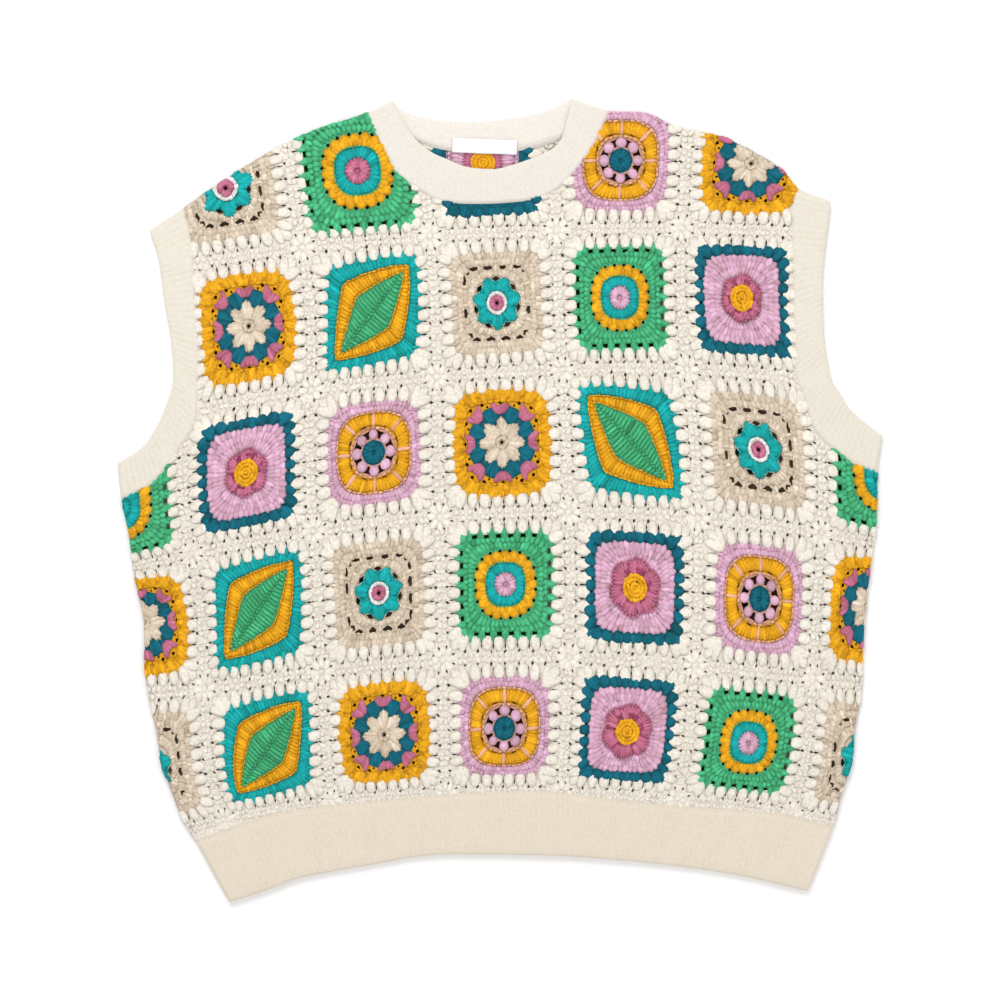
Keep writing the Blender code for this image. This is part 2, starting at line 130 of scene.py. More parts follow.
class Yarn(Enum):
    """Colours of the yarns and tapes, as the eye sees them (sRGB)."""

    CREAM = (1.0, 0.97, 0.915)
    NECK = (0.882, 0.858, 0.820)
    ARM = (0.884, 0.858, 0.804)
    HEM = (0.878, 0.830, 0.762)
    SAND = (0.925, 0.855, 0.765)
    WHITE = (0.99, 0.99, 0.98)
    GREEN = (0.33, 0.78, 0.55)
    TURQUOISE = (0.11, 0.71, 0.71)
    MARIGOLD = (0.99, 0.72, 0.14)
    PINK = (0.92, 0.73, 0.83)
    ROSE = (0.83, 0.48, 0.60)
    # dark rose yarn that paints the shade in the rose's creases, round its dome and on its upper
    # right
    WINE = (0.66, 0.30, 0.43)
    PETROL = (0.085, 0.44, 0.52)
    SALMON = (0.98, 0.74, 0.60)


# Painted shade: brightness at the foot of a stitch, of the side inside the body and of the ground
# between the stitches, for the yarns that differ from the rest
SHADES = {Yarn.CREAM: (0.92, 0.55, 0.97), Yarn.SAND: (0.5, 0.25, 0.93)}


def linear(colour: tuple) -> tuple:
    """Linear RGBA of a colour given as the eye sees it."""
    parts = [((c + 0.055) / 1.055) ** 2.4 if c > 0.04045 else c / 12.92 for c in colour]
    return (*parts, 1.0)


def quad_grid(rows: int, columns: int, ring: bool = True, tube: bool = False) -> np.ndarray:
    """Quads over a grid of points that are counted row by row.

    Args:
        rows: number of rows.
        columns: number of points in a row.
        ring: whether each row is closed.
        tube: whether the last row meets the first.

    Returns:
        The corners of each quad.
    """
    i = np.arange(rows if tube else rows - 1)[:, None]
    k = np.arange(columns if ring else columns - 1)[None]
    j, m = (i + 1) % rows, (k + 1) % columns
    corners = [i * columns + k, i * columns + m, j * columns + m, j * columns + k]
    return np.stack(corners, 2).reshape(-1, 4)


def inside(xy: np.ndarray, outline: np.ndarray) -> np.ndarray:
    """True for each place within a closed outline.

    Args:
        xy: the places.
        outline: the outline's corners.

    Returns:
        An array of booleans.
    """
    odd = np.zeros(len(xy), bool)
    for (ax, ay), (bx, by) in zip(outline, np.roll(outline, -1, 0)):
        if ay != by:
            crosses = (ay > xy[:, 1]) != (by > xy[:, 1])
            odd ^= crosses & (xy[:, 0] < ax + (xy[:, 1] - ay) * (bx - ax) / (by - ay))
    return odd


class NodeDesk:
    """Adds and joins the nodes of one material."""

    def __init__(self, material: bpy.types.Material) -> None:
        """Finds the material's nodes and its shader."""
        self.nodes = material.node_tree.nodes
        self.links = material.node_tree.links
        self.shader = self.nodes["Principled BSDF"]

    def fill(self, node: bpy.types.Node, inputs: dict) -> None:
        """Sets each input of a node to a value, or joins it to an output.

        Args:
            node: the node.
            inputs: values and outputs by the inputs' names or numbers.
        """
        for key, value in inputs.items():
            if isinstance(value, bpy.types.NodeSocket):
                self.links.new(value, node.inputs[key])
            else:
                node.inputs[key].default_value = value

    def add(self, kind: str, inputs: dict | None = None) -> bpy.types.Node:
        """Adds a node.

        Args:
            kind: its type, without the leading ShaderNode.
            inputs: values and outputs by the inputs' names or numbers.

        Returns:
            The new node.
        """
        node = self.nodes.new("ShaderNode" + kind)
        self.fill(node, inputs or {})
        return node

    def work_out(self, operation: str, *values: object) -> bpy.types.NodeSocket:
        """The result of a Math node on outputs and numbers."""
        node = self.add("Math", dict(enumerate(values)))
        node.operation = operation
        return node.outputs["Value"]

    def bump(self, height: bpy.types.NodeSocket, depth: float, strength: float) -> None:
        """Lays relief over that of the shader.

        Args:
            height: the relief, 0 to 1.
            depth: its depth, in mm.
            strength: its strength.
        """
        normal = self.shader.inputs["Normal"]
        node = self.add("Bump", {"Height": height, "Distance": depth * MM, "Strength": strength})
        if normal.links:
            self.links.new(normal.links[0].from_socket, node.inputs["Normal"])
        self.links.new(node.outputs["Normal"], normal)


@dataclass(frozen=True)
class YarnFinish:
    """Matte spun yarn: plied strands, a little fuzz, and painted shade down between the stitches.
    """

    name: str
    colour: tuple
    depth: float = 0.7           # brightness at the foot of a stitch, painted shade
    covered: float = 0.12        # brightness of the side inside the body, painted shade
    ply_per_mm: float = 0.55     # plies along a stitch
    ply_depth: float = 0.35      # mm
    fuzz_depth: float = 0.6      # mm
    variation: float = 0.14
    roughness: float = 0.92
    sheen: float = 0.14

    def build(self) -> bpy.types.Material:
        """Makes the material.

        Returns:
            The new material.
        """
        material = bpy.data.materials.new(self.name)
        material.use_nodes = True
        desk = NodeDesk(material)
        colour = linear(self.colour)
        desk.fill(desk.shader, {"Roughness": self.roughness, "Sheen Weight": self.sheen,
                                "Sheen Roughness": 0.6, "Sheen Tint": colour,
                                "Specular IOR Level": 0.2})
        place = desk.add("TexCoord")
        mottle = desk.add("TexNoise", {"Vector": place.outputs["Object"], "Scale": 420.0,
                                       "Detail": 5.0})
        shade = desk.add("MapRange", {"Value": mottle.outputs["Fac"],
                                      "From Min": 0.3, "From Max": 0.7,
                                      "To Min": 1.0 - self.variation,
                                      "To Max": 1.0 + self.variation})
        # The crest attribute paints shade: darker towards the foot of a stitch, and down to covered
        # on the inside of the body.
        crest = desk.add("Attribute")
        crest.attribute_name = "crest"
        lift = desk.add("MapRange", {"Value": crest.outputs["Fac"], "To Min": self.depth,
                                     "To Max": 1.0})
        lift.clamp = False
        least = desk.work_out("MAXIMUM", lift.outputs["Result"], self.covered)
        both = desk.work_out("MULTIPLY", shade.outputs["Result"], least)
        powers = {"Red": 1.0, "Green": 1.12, "Blue": 1.28}      # shadows grow warmer
        warm = desk.add("CombineColor", {channel: desk.work_out("POWER", both, power)
                                         for channel, power in powers.items()})
        tint = desk.add("Mix")
        tint.data_type = "RGBA"
        tint.blend_type = "MULTIPLY"
        desk.fill(tint, {"Factor": 1.0, 6: colour, 7: warm.outputs["Color"]})
        desk.fill(desk.shader, {"Base Color": tint.outputs[2]})

        lines = desk.add("TexWave", {"Vector": place.outputs["UV"], "Scale": self.ply_per_mm,
                                     "Distortion": 0.6})
        lines.bands_direction = "DIAGONAL"
        fuzz = desk.add("TexNoise", {"Vector": place.outputs["Object"], "Scale": 520.0,
                                     "Detail": 5.0, "Roughness": 0.7})
        desk.bump(lines.outputs["Fac"], self.ply_depth, 0.8)
        desk.bump(fuzz.outputs["Fac"], self.fuzz_depth, 0.7)
        return material


# ------------------------------------------------------------------ curves and the grid

def smooth_curve(points: tuple, step: float) -> np.ndarray:
    """Even points on the Catmull-Rom curve through the given ones.

    Args:
        points: places, in mm.
        step: rough spacing of the result, in mm.

    Returns:
        An array of places.
    """
    knots = np.array(points, float)
    knots = np.vstack([knots[0] * 2 - knots[1], knots, knots[-1] * 2 - knots[-2]])
    t = np.linspace(0, 1, 24, endpoint=False)[:, None]      # finer than any step asked for
    spans = []
    for a, b, c, d in zip(knots, knots[1:], knots[2:], knots[3:]):
        spans.append((b * 2 + (c - a) * t + (a * 2 - b * 5 + c * 4 - d) * t ** 2
                      + (b * 3 - a - c * 3 + d) * t ** 3) / 2)
    dense = np.vstack(spans + [knots[-2:-1]])
    length = path_lengths(dense)[-1]
    return even_points(dense, max(2, round(length / step)) + 1)


def path_lengths(path: np.ndarray) -> np.ndarray:
    """Distance of each point of a path from its start."""
    return np.concatenate([[0.0], np.cumsum(np.linalg.norm(np.diff(path, axis=0), axis=1))])


def even_points(path: np.ndarray, count: int, past: float = 0.0) -> np.ndarray:
    """Evenly spaced points of a path.

    Args:
        path: the path's points.
        count: number of points wanted.
        past: length added straight on at both ends, in mm.

    Returns:
        An array of places.
    """
    lengths = path_lengths(path)
    wanted = np.linspace(-past, lengths[-1] + past, count)
    held = np.clip(wanted, 0, lengths[-1])
    result = np.stack([np.interp(held, lengths, path[:, k]) for k in (0, 1)], 1)
    first, last = path[1] - path[0], path[-1] - path[-2]
    result += np.minimum(wanted, 0)[:, None] * first / np.linalg.norm(first)
    result += np.maximum(wanted - lengths[-1], 0)[:, None] * last / np.linalg.norm(last)
    return result


class Grid:
    """The bent grid of squares on the flattened body."""

    def __init__(self) -> None:
        """Reads the table of places."""
        self.places = np.array(GRID_PLACES, float)
        self.rows = np.array(GRID_ROWS)
        self.slopes = np.empty_like(self.places)
        last = len(self.rows) - 1
        for k in range(last + 1):
            low, high = max(0, k - 1), min(last, k + 1)
            self.slopes[k] = ((self.places[high] - self.places[low])
                              / (self.rows[high] - self.rows[low]))

    def place(self, column: np.ndarray, row: np.ndarray) -> np.ndarray:
        """Places of grid coordinates, in mm on the flattened body.

        Args:
            column: columns, counted from the middle one.
            row: rows, counted down from the neck.

        Returns:
            An array of places.
        """
        weights = []
        for own in GRID_COLUMNS:
            weight = np.ones_like(column)
            for other in GRID_COLUMNS:
                if other != own:
                    weight = weight * (column - other) / (own - other)
            weights.append(weight)
        weights = np.stack(weights, 1)
        i = np.clip(np.searchsorted(self.rows, row, "right") - 1, 0, len(self.rows) - 2)
        span = self.rows[i + 1] - self.rows[i]
        t = (row - self.rows[i]) / span
        total = 0.0
        for share, table in ((2 * t ** 3 - 3 * t ** 2 + 1, self.places[i]),
                             ((t ** 3 - 2 * t ** 2 + t) * span, self.slopes[i]),
                             (3 * t ** 2 - 2 * t ** 3, self.places[i + 1]),
                             ((t ** 3 - t ** 2) * span, self.slopes[i + 1])):
            total = total + share[:, None] * np.einsum("nc,ncd->nd", weights, table)
        return total

    def locate(self, xy: np.ndarray) -> np.ndarray:
        """Grid coordinates of places on the flattened body.

        Args:
            xy: places, in mm.

        Returns:
            Columns and rows, side by side.
        """
        column = xy[:, 0] / PITCH
        row = np.clip((275 - xy[:, 1]) / 116, -0.5, 4.6)      # a rough first guess
        step = 1e-3
        for _ in range(6):                                    # Newton's method
            here = self.place(column, row)
            across = (self.place(column + step, row) - here) / step
            down = (self.place(column, row + step) - here) / step
            miss = xy - here
            scale = across[:, 0] * down[:, 1] - across[:, 1] * down[:, 0]
            column = column + (miss[:, 0] * down[:, 1] - miss[:, 1] * down[:, 0]) / scale
            row = row + (across[:, 0] * miss[:, 1] - across[:, 1] * miss[:, 0]) / scale
            row = np.clip(row, -0.9, 4.9)
        return np.stack([column, row], 1)


class Edge:
    """A run of edges with the cloth on its left, and signed distances from it."""

    def __init__(self, path: np.ndarray, extend: float = 0.0) -> None:
        """Keeps a path, lengthened at both ends.

        Args:
            path: points along the edge, with the cloth on the left.
            extend: length added at each end, in mm.
        """
        if extend:
            first, last = path[0] - path[1], path[-1] - path[-2]
            path = np.vstack([path[0] + first / np.linalg.norm(first) * extend, path,
                              path[-1] + last / np.linalg.norm(last) * extend])
        self.start = path[:-1]
        self.run = path[1:] - path[:-1]
        self.squared = (self.run ** 2).sum(1)
        normal = np.stack([-self.run[:, 1], self.run[:, 0]], 1)
        self.normal = normal / np.linalg.norm(normal, axis=1)[:, None]
        self.path = path

    def reach(self, xy: np.ndarray, far: float = 30.0) -> tuple:
        """Signed distances into the cloth, feet on the edge and directions into the cloth.

        Args:
            xy: places, in mm.
            far: distance past which the answer isn't needed, in mm.

        Returns:
            Distances, feet and unit directions; far places get a large distance.
        """
        distance = np.full(len(xy), FAR)
        foot = xy.copy()
        inward = np.zeros_like(xy)
        low, high = self.path.min(0) - far, self.path.max(0) + far
        near = np.where(((xy > low) & (xy < high)).all(1))[0]
        for part in np.array_split(near, max(1, len(near) // PORTION)):
            if not len(part):
                continue
            offset = xy[part, None] - self.start[None]
            t = np.clip((offset * self.run).sum(2) / self.squared, 0, 1)
            gap = offset - t[..., None] * self.run
            length = (gap ** 2).sum(2)
            best = length.argmin(1)
            rows = np.arange(len(part))
            away = gap[rows, best]
            plain = np.sqrt(length[rows, best])
            side = np.sign((away * self.normal[best]).sum(1))
            close = plain < far
            distance[part] = np.where(close, plain * np.where(side == 0, 1, side), FAR)
            foot[part] = xy[part] - away
            smooth = away * side[:, None] / np.maximum(plain, 1e-6)[:, None]
            inward[part] = np.where((plain > ON_EDGE)[:, None], smooth, self.normal[best])
        return distance, foot, inward


class Cloth:
    """Turns places on the flattened vest into places in the frame."""

    def __init__(self) -> None:
        """Sets out the folds and seams and the shift to the frame's origin."""
        outer = (
            ((-87, 328),) + SHOULDER_LEFT + ((-286, 221),),
            ((-312, 31),) + SIDE_LEFT + ((-220, -328),),
            ((252, -319),) + SIDE_RIGHT + ((313, 54),),
            ((271, 245),) + SHOULDER_RIGHT + ((59, 329),),
        )
        self.folds = [Edge(smooth_curve(points, CURVE_STEP), FOLD_REACH) for points in outer]
        self.grid = Grid()
        self.outlines, self.seams, self.rims = {}, {}, {}
        for layer, neck in ((Layer.FRONT, NECK_SEAM_FRONT), (Layer.BACK, NECK_SEAM_BACK)):
            runs = [smooth_curve(points, CURVE_STEP) for points in (
                SHOULDER_LEFT, ARM_SEAM_LEFT, SIDE_LEFT, HEM_SEAM, SIDE_RIGHT, ARM_SEAM_RIGHT,
                SHOULDER_RIGHT, neck)]
            self.outlines[layer] = np.vstack([run[:-1] for run in runs])
            self.seams[layer] = [Edge(runs[k]) for k in (1, 3, 5, 7)]
            self.rims[layer] = Edge(np.vstack([self.outlines[layer], runs[0][:1]]))
        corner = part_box("front_panel")[0]
        self.shift = np.array(corner[:2]) - self.outlines[Layer.FRONT].min(0) * MM

    def holds(self, xy: np.ndarray, layer: Layer) -> np.ndarray:
        """True for each place that lies within a layer's outline."""
        return inside(xy, self.outlines[layer])

    def seam_margin(self, xy: np.ndarray, layer: Layer) -> np.ndarray:
        """Signed distances of places into a layer from its nearest sewn edge."""
        found = np.stack([edge.reach(xy)[0] for edge in self.seams[layer]])
        return found[np.abs(found).argmin(0), np.arange(len(xy))]

    def lay(self, xy: np.ndarray, height: np.ndarray, layer: Layer) -> np.ndarray:
        """Places in the frame, in metres, wrapped over the folds and clear of the floor.

        Args:
            xy: places on the flattened vest, in mm.
            height: distances out from the middle of the layer's wall, in mm.
            layer: the layer.

        Returns:
            An array of points.
        """
        if layer is Layer.FRONT:
            wave = RIPPLE * np.sin(xy[:, 0] / 41 + 0.6) * np.sin(xy[:, 1] / 53 + 1.1)
            height = height + wave + RIPPLE
        else:
            height = np.minimum(height, BACK_CREST)
        radius = LAYER_RISE + height
        flat, level = xy.copy(), radius.copy()
        for edge in self.folds:
            distance, foot, inward = edge.reach(xy, FOLD_REACH)
            turning = distance < LAYER_RISE
            if not turning.any():
                continue
            angle = np.clip((LAYER_RISE - distance[turning]) / LAYER_RISE, 0, LAST_TURN)
            centre = foot[turning] + inward[turning] * LAYER_RISE
            reach = (LAYER_RISE + height[turning] * 0.5) * np.sin(angle)
            flat[turning] = centre - inward[turning] * reach[:, None]
            level[turning] = radius[turning] * np.cos(angle)
        z = np.maximum(MIDDLE + layer.value * level, FLOOR_GAP)
        return np.column_stack([flat * MM + self.shift, z * MM])


# ------------------------------------------------------------------ stitches

@dataclass(frozen=True)
class StitchForm:
    """A closed stitch of unit size, along X from 0 to 1, with grooves along it.

    All but whole ones are flat underneath, a little below their middle line.
    """

    around: int
    along: int
    fullness: float = 0.5     # lower is blunter
    lean: float = 1.0         # above 1 the widest place is nearer the tip
    lobes: int = 0
    groove: float = 0.0
    whole: bool = False

    def parts(self) -> tuple:
        """Points, quads, triangles, UVs and crests of the stitch.

        Returns:
            Five arrays; the points are (along, across, up).
        """
        t = (1 - np.cos(np.linspace(0, math.pi, self.along + 1)[1:-1])) / 2     # close at the ends
        width = np.sin(math.pi * t ** self.lean) ** self.fullness
        if self.whole:
            angle = np.linspace(0, 2 * math.pi, self.around, endpoint=False)
        else:
            angle = np.linspace(-math.pi / 6, math.pi * 7 / 6, self.around)
        ridge = 1 - self.groove * (0.5 - 0.5 * np.cos(self.lobes * (angle - math.pi / 2)))
        across = 0.5 * np.outer(width, np.cos(angle) * ridge)
        up = 0.5 * np.outer(width, np.sin(angle) * ridge)
        along = np.repeat(t[:, None], self.around, 1)
        points = np.stack([along, across, up], 2).reshape(-1, 3)
        points = np.vstack([points, [[0, 0, 0], [1, 0, 0]]])
        rings = len(t)
        i = np.arange(self.around)
        after = np.roll(i, -1)
        start = np.full(self.around, rings * self.around)
        last = (rings - 1) * self.around
        tris = np.vstack([np.column_stack([start, after, i]),
                          np.column_stack([last + i, last + after, start + 1])])
        uv = np.column_stack([np.tile(angle / (2 * math.pi), rings), along.ravel()])
        uv = np.vstack([uv, [[0, 0], [0, 1]]])
        # The crests paint shade: a point is darker the lower it lies and the deeper in a groove,
        # and the ends are darker.
        crest = np.clip(0.5 + up.ravel() * 1.1 * np.tile(ridge ** 2, rings), 0, 1)
        crest = np.append(crest, [0.3, 0.3])
        return points, quad_grid(rings, self.around), tris, uv, crest


FINE = {
    "puff": StitchForm(9, 7, 0.27, 1.4, 6, 0.2),
    "post": StitchForm(5, 4, 0.35),
    "bead": StitchForm(8, 6, 0.5),
    "petal": StitchForm(6, 5, 0.75, 1.25),
    "spike": StitchForm(5, 4, 0.9, 0.7),
    "chain": StitchForm(5, 3, 0.6, 1.2),
}
COARSE = {name: replace(form, around=4, along=3, lobes=0) for name, form in FINE.items()}
WHOLE = {name: replace(form, whole=True) for name, form in FINE.items()}


class StitchPile:
    """Stitches placed on one square, in mm from its middle, X right and Y towards the neck."""

    def __init__(self, seed: int) -> None:
        """Starts an empty pile with its own random numbers."""
        self.rows = defaultdict(list)
        self.random = np.random.default_rng(seed)

    def posts(self, form: str, yarn: Yarn, start: np.ndarray, end: np.ndarray, width: float,
              thick: float, level: float, rise: float = 0.0, loose: float = 0.5) -> None:
        """Adds a stitch from each start to each end.

        Args:
            form: name of the stitch's form.
            yarn: its yarn.
            start: where the stitches spring from.
            end: where their tips are.
            width: their width.
            thick: their thickness.
            level: height of their middle line at the start.
            rise: how much higher the tips are.
            loose: how far the tips may stray.
        """
        start, end = np.atleast_2d(start).astype(float), np.atleast_2d(end).astype(float)
        start, end = np.broadcast_arrays(start, end)
        count = len(start)
        end = end + self.random.normal(0, loose, end.shape) * 0.6
        start = start + self.random.normal(0, loose, end.shape) * 0.3
        wide = width * self.random.uniform(0.86, 1.12, count)
        tall = thick * self.random.uniform(0.9, 1.1, count)
        lift = level + self.random.normal(0, 0.12, count)
        table = np.column_stack([start, end, wide, tall, lift, np.full(count, rise)])
        self.rows[form, yarn].append(table)


@dataclass(frozen=True)
class Ring:
    """A closed curve round a square's middle: a circle, a rounded square or a rhombus."""

    rx: float
    power: float = 2.0         # 2 for an ellipse, 1 for a rhombus, 8 for a rounded square
    ry: float = 0.0            # 0 stands for the same as rx
    turn: float = 0.0          # degrees

    def reach(self, angle: np.ndarray) -> np.ndarray:
        """Distances of the curve from the middle, at angles from its own first axis."""
        c, s = np.abs(np.cos(angle)) / self.rx, np.abs(np.sin(angle)) / (self.ry or self.rx)
        return (c ** self.power + s ** self.power) ** (-1 / self.power)

    def points(self, count: int, phase: float = 0.0) -> np.ndarray:
        """Even points along the curve, anticlockwise.

        Args:
            count: number of points.
            phase: share of a step by which the first point is moved on.

        Returns:
            An array of points.
        """
        angle = np.linspace(0, 2 * math.pi, 721)
        size, turned = self.reach(angle), angle + math.radians(self.turn)
        path = np.column_stack([np.cos(turned) * size, np.sin(turned) * size])
        lengths = path_lengths(path)
        wanted = (np.arange(count) + phase) / count * lengths[-1] % lengths[-1]
        return np.column_stack([np.interp(wanted, lengths, path[:, k]) for k in (0, 1)])

    def holds(self, xy: np.ndarray) -> np.ndarray:
        """True for each point inside the curve."""
        angle = np.arctan2(xy[:, 1], xy[:, 0]) - math.radians(self.turn)
        return np.linalg.norm(xy, axis=1) < self.reach(angle)


def polar(radius: float, count: int, first: float = 0.0) -> np.ndarray:
    """Even points on a circle round the middle, from the angle first in degrees."""
    angle = np.radians(first) + np.arange(count) * 2 * math.pi / count
    return np.column_stack([np.cos(angle), np.sin(angle)]) * radius


def diamond(middle: np.ndarray, half_out: float, half_across: float,
            turn: float | None = None) -> np.ndarray:
    """A diamond round a point.

    Args:
        middle: its middle.
        half_out: half its length, away from the square's middle or along turn.
        half_across: half its width.
        turn: direction of its length, in radians.

    Returns:
        Its four corners, anticlockwise.
    """
    if turn is None:
        turn = math.atan2(middle[1], middle[0])
    out = np.array([math.cos(turn), math.sin(turn)]) * half_out
    across = np.array([-math.sin(turn), math.cos(turn)]) * half_across
    return np.array([middle + out, middle + across, middle - out, middle - across])


def diamonds(middles: np.ndarray, half_out: float, half_across: float) -> list:
    """A diamond round each of the points, its length away from the square's middle."""
    return [diamond(middle, half_out, half_across) for middle in middles]


def quarter_turns() -> list:
    """The matrices that turn row vectors by 0, 90, 180 and 270 degrees."""
    return [np.array([[c, s], [-s, c]]) for c, s in ((1, 0), (0, 1), (-1, 0), (0, -1))]


def both_ways(places: tuple) -> np.ndarray:
    """The places mirrored in 0 and themselves, in rising order."""
    return np.array([-place for place in places[::-1] if place] + list(places))


EDGE = PITCH / 2                                # from a square's middle to its border
TIPS = both_ways((4.8, 14.4, 23.6, 31.6))       # tips of the puffs along a side
ROOTS = both_ways((5.0, 15.2, 25.6, 36.4))      # their roots
SLITS = both_ways((0.0, 9.7, 19.2, 28.0))       # the slits between them
HALF_DIAGONAL = 0.7071                          # X of a point at 45 degrees, distance 1
PUFF = (9.9, 2.1, 1.1, 0.3)                     # its width, thickness, level and rise
CORNER_PUFF = (12.0, 2.0, 1.0)                  # the same in the corners
PUFF_HEIGHT = 9.0                               # least length of a puff
BORDER_POSTS = 17                               # stitches of the chains along a border
BORDER_POST = (4.4, 1.0, 1.0, 0.1, 1.3)         # width to rise of one, and how far it strays
BORDER_STEP = 4.8                               # from one to the next
DOT_CHANCE = 0.9                                # of a small opening beyond a slit


@dataclass
class Square:
    """One granny square and its share of the cream joining."""

    column: int
    row: int
    layer: Layer
    size: float = 1.0          # of the motif, not of the joining
    pile: StitchPile = field(init=False)

    edge = Ring(37.5, 8)           # outer edge of the coloured part
    edge_yarn = Yarn.CREAM
    zones = ()                     # yarns and rings of the ground, outermost first
    tooth = 3.6                    # width of the coloured points between the puffs
    tooth_reach = 3.8              # how far they stand out of the coloured edge

    def __post_init__(self) -> None:
        """Gives the square its own random numbers."""
        side = 0 if self.layer is Layer.FRONT else 5000
        self.pile = StitchPile(100 * (self.row + 1) + self.column + 10 + side)

    def motif_gaps(self) -> list:
        """Outlines of the motif's openings."""
        return []

    def motif(self) -> None:
        """Adds the coloured stitches."""
        raise NotImplementedError

    def round(self, yarn: Yarn, inner: Ring, outer: Ring, count: int, form: str = "post",
              phase: float = 0.0, cover: float = 1.2, thick: float = 2.6, level: float = 1.0,
              rise: float = 0.0, skip: int = 0) -> None:
        """Adds a round of stitches from an inner ring to an outer one.

        Args:
            yarn: their yarn.
            inner: where the stitches spring from.
            outer: where their tips are.
            count: number of stitches.
            form: name of the stitch's form.
            phase: share of a step by which the first stitch is moved on.
            cover: their width as a share of their spacing at the tips.
            thick: their thickness.
            level: height of their middle line at the start.
            rise: how much higher the tips are.
            skip: leaves out the first of every so many stitches; 0 for none.
        """
        start, end = inner.points(count, phase), outer.points(count, phase)
        spacing = 1.12 * np.linalg.norm(np.roll(end, -1, 0) - end, axis=1).mean()
        keep = np.arange(count) % skip != 0 if skip else np.ones(count, bool)
        self.strands(yarn, start[keep], end[keep], spacing * cover, form, thick, level, rise)

    def chain(self, yarn: Yarn, ring: Ring, count: int, width: float, thick: float,
              level: float) -> None:
        """Adds a chain of stitches along a ring, its middle line at a level."""
        self.strands(yarn, ring.points(count), ring.points(count, 1.15), width, "chain", thick,
                     level)

    def strands(self, yarn: Yarn, start: np.ndarray, end: np.ndarray, width: float,
                form: str = "petal", thick: float = 2.6, level: float = 1.0,
                rise: float = 0.0) -> None:
        """Adds stitches to the pile at the motif's size, from each start to each end."""
        self.pile.posts(form, yarn, np.asarray(start) * self.size,
                        np.asarray(end) * self.size, width * self.size, thick, level, rise)

    def fans(self, yarn: Yarn, count: int, first: float, inner: float, outer: float,
             spread: float, strands: int, width: float, form: str = "post",
             pinch: float = 0.3, droop: float = 0.0, thick: float = 2.4,
             level: float = 1.2) -> None:
        """Adds clusters of stitches, each spreading from a foot.

        Args:
            yarn: their yarn.
            count: number of clusters round the middle.
            first: angle of the first cluster, in degrees.
            inner: distance of the feet from the middle.
            outer: distance of the tips.
            spread: half the angle between a cluster's outer tips, in degrees.
            strands: stitches in a cluster.
            width: width of a stitch.
            form: name of the stitch's form.
            pinch: spread of the feet as a share of that of the tips.
            droop: how much shorter the outer stitches are, as a share.
            thick: their thickness.
            level: height of their middle line.
        """
        for share in np.linspace(-1, 1, strands):
            self.strands(yarn, polar(inner, count, first + spread * share * pinch),
                         polar(outer * (1 - droop * share ** 2), count, first + spread * share),
                         width, form, thick, level)

    def side_rows(self, yarn: Yarn, across: tuple, lean: float, inner: float, outer: float,
                  width: float, form: str = "post", thick: float = 2.6, level: float = 1.0,
                  droop: float = 0.0) -> None:
        """Adds a row of stitches along each side of the square.

        Args:
            yarn: their yarn.
            across: distances of the tips from the side's middle, for one half of the side.
            lean: distances of the feet as a share of those of the tips.
            inner: distance of the feet from the square's middle, towards the side.
            outer: distance of the tips.
            width: their width.
            form: name of the stitch's form.
            thick: their thickness.
            level: height of their middle line.
            droop: how much shorter a stitch is for each mm from the side's middle.
        """
        places = both_ways(across)
        start = np.column_stack([places * lean, np.full(len(places), inner)])
        end = np.column_stack([places, outer - np.abs(places) * droop])
        for turn in quarter_turns():
            self.strands(yarn, start @ turn, end @ turn, width, form, thick, level)

    def edge_heights(self, across: np.ndarray, quarter: int) -> np.ndarray:
        """How far out the coloured edge is beside a side's middle.

        Args:
            across: distances from the side's middle, both signs.
            quarter: which side, in quarter turns from the upper one.

        Returns:
            An array of distances.
        """
        path = self.edge.points(240) * self.size @ quarter_turns()[quarter].T
        path = path[path[:, 1] > 12]                   # the upper side alone
        path = path[np.argsort(path[:, 0])]
        low, high = path[0, 0] + 1.5, path[-1, 0] - 1.5
        heights = np.interp(np.clip(across, low, high), path[:, 0], path[:, 1])
        return np.minimum(heights, EDGE - PUFF_HEIGHT)

    def joining(self) -> None:
        """Adds the cream puffs round the motif and the coloured points between them."""
        roots = np.column_stack([ROOTS, np.full(len(ROOTS), EDGE - 4.0)])
        for quarter, turn in enumerate(quarter_turns()):
            tips = np.column_stack([TIPS, self.edge_heights(TIPS, quarter) - 1.6])
            self.pile.posts("puff", Yarn.CREAM, roots @ turn, tips @ turn, *PUFF)
            diagonal = np.radians([45.0 + 90 * quarter - self.edge.turn])
            corner = self.edge.reach(diagonal)[0] * self.size * HALF_DIAGONAL
            tip = np.full((1, 2), min(corner, EDGE - PUFF_HEIGHT - 1) - 0.4)
            root = np.full((1, 2), EDGE - 7.0)
            self.pile.posts("puff", Yarn.CREAM, root @ turn, tip @ turn, *CORNER_PUFF)
            height = self.edge_heights(SLITS, quarter)
            start = np.column_stack([SLITS, height - 4.5])
            end = np.column_stack([SLITS * 1.01, height + self.tooth_reach])
            self.pile.posts("spike", self.edge_yarn, start @ turn, end @ turn, self.tooth, 3, 1.5)
        self.border()

    def border(self) -> None:
        """Adds the chains on the right and lower borders, and the rosette where they meet."""
        along = (np.arange(BORDER_POSTS) - (BORDER_POSTS - 1) / 2) * BORDER_STEP
        border = np.full(BORDER_POSTS, EDGE)
        right, lower = np.column_stack([border, along]), np.column_stack([along, -border])
        for sign in (-1, 1):
            for start, step in ((right, [3.8 * sign, 2.6]), (lower, [2.6, 3.8 * sign])):
                self.pile.posts("post", Yarn.CREAM, start, start + step, *BORDER_POST)
        hub = np.array([EDGE, -EDGE])
        for start, end, wide, thick in ((polar(2.2, 8), polar(10.8, 8), 5.2, 1.2),
                                        ([[-1.8, 0]], [[1.8, 0]], 3.2, 1.0)):
            self.pile.posts("bead", Yarn.CREAM, hub + start, hub + end, wide, thick, 0.9)

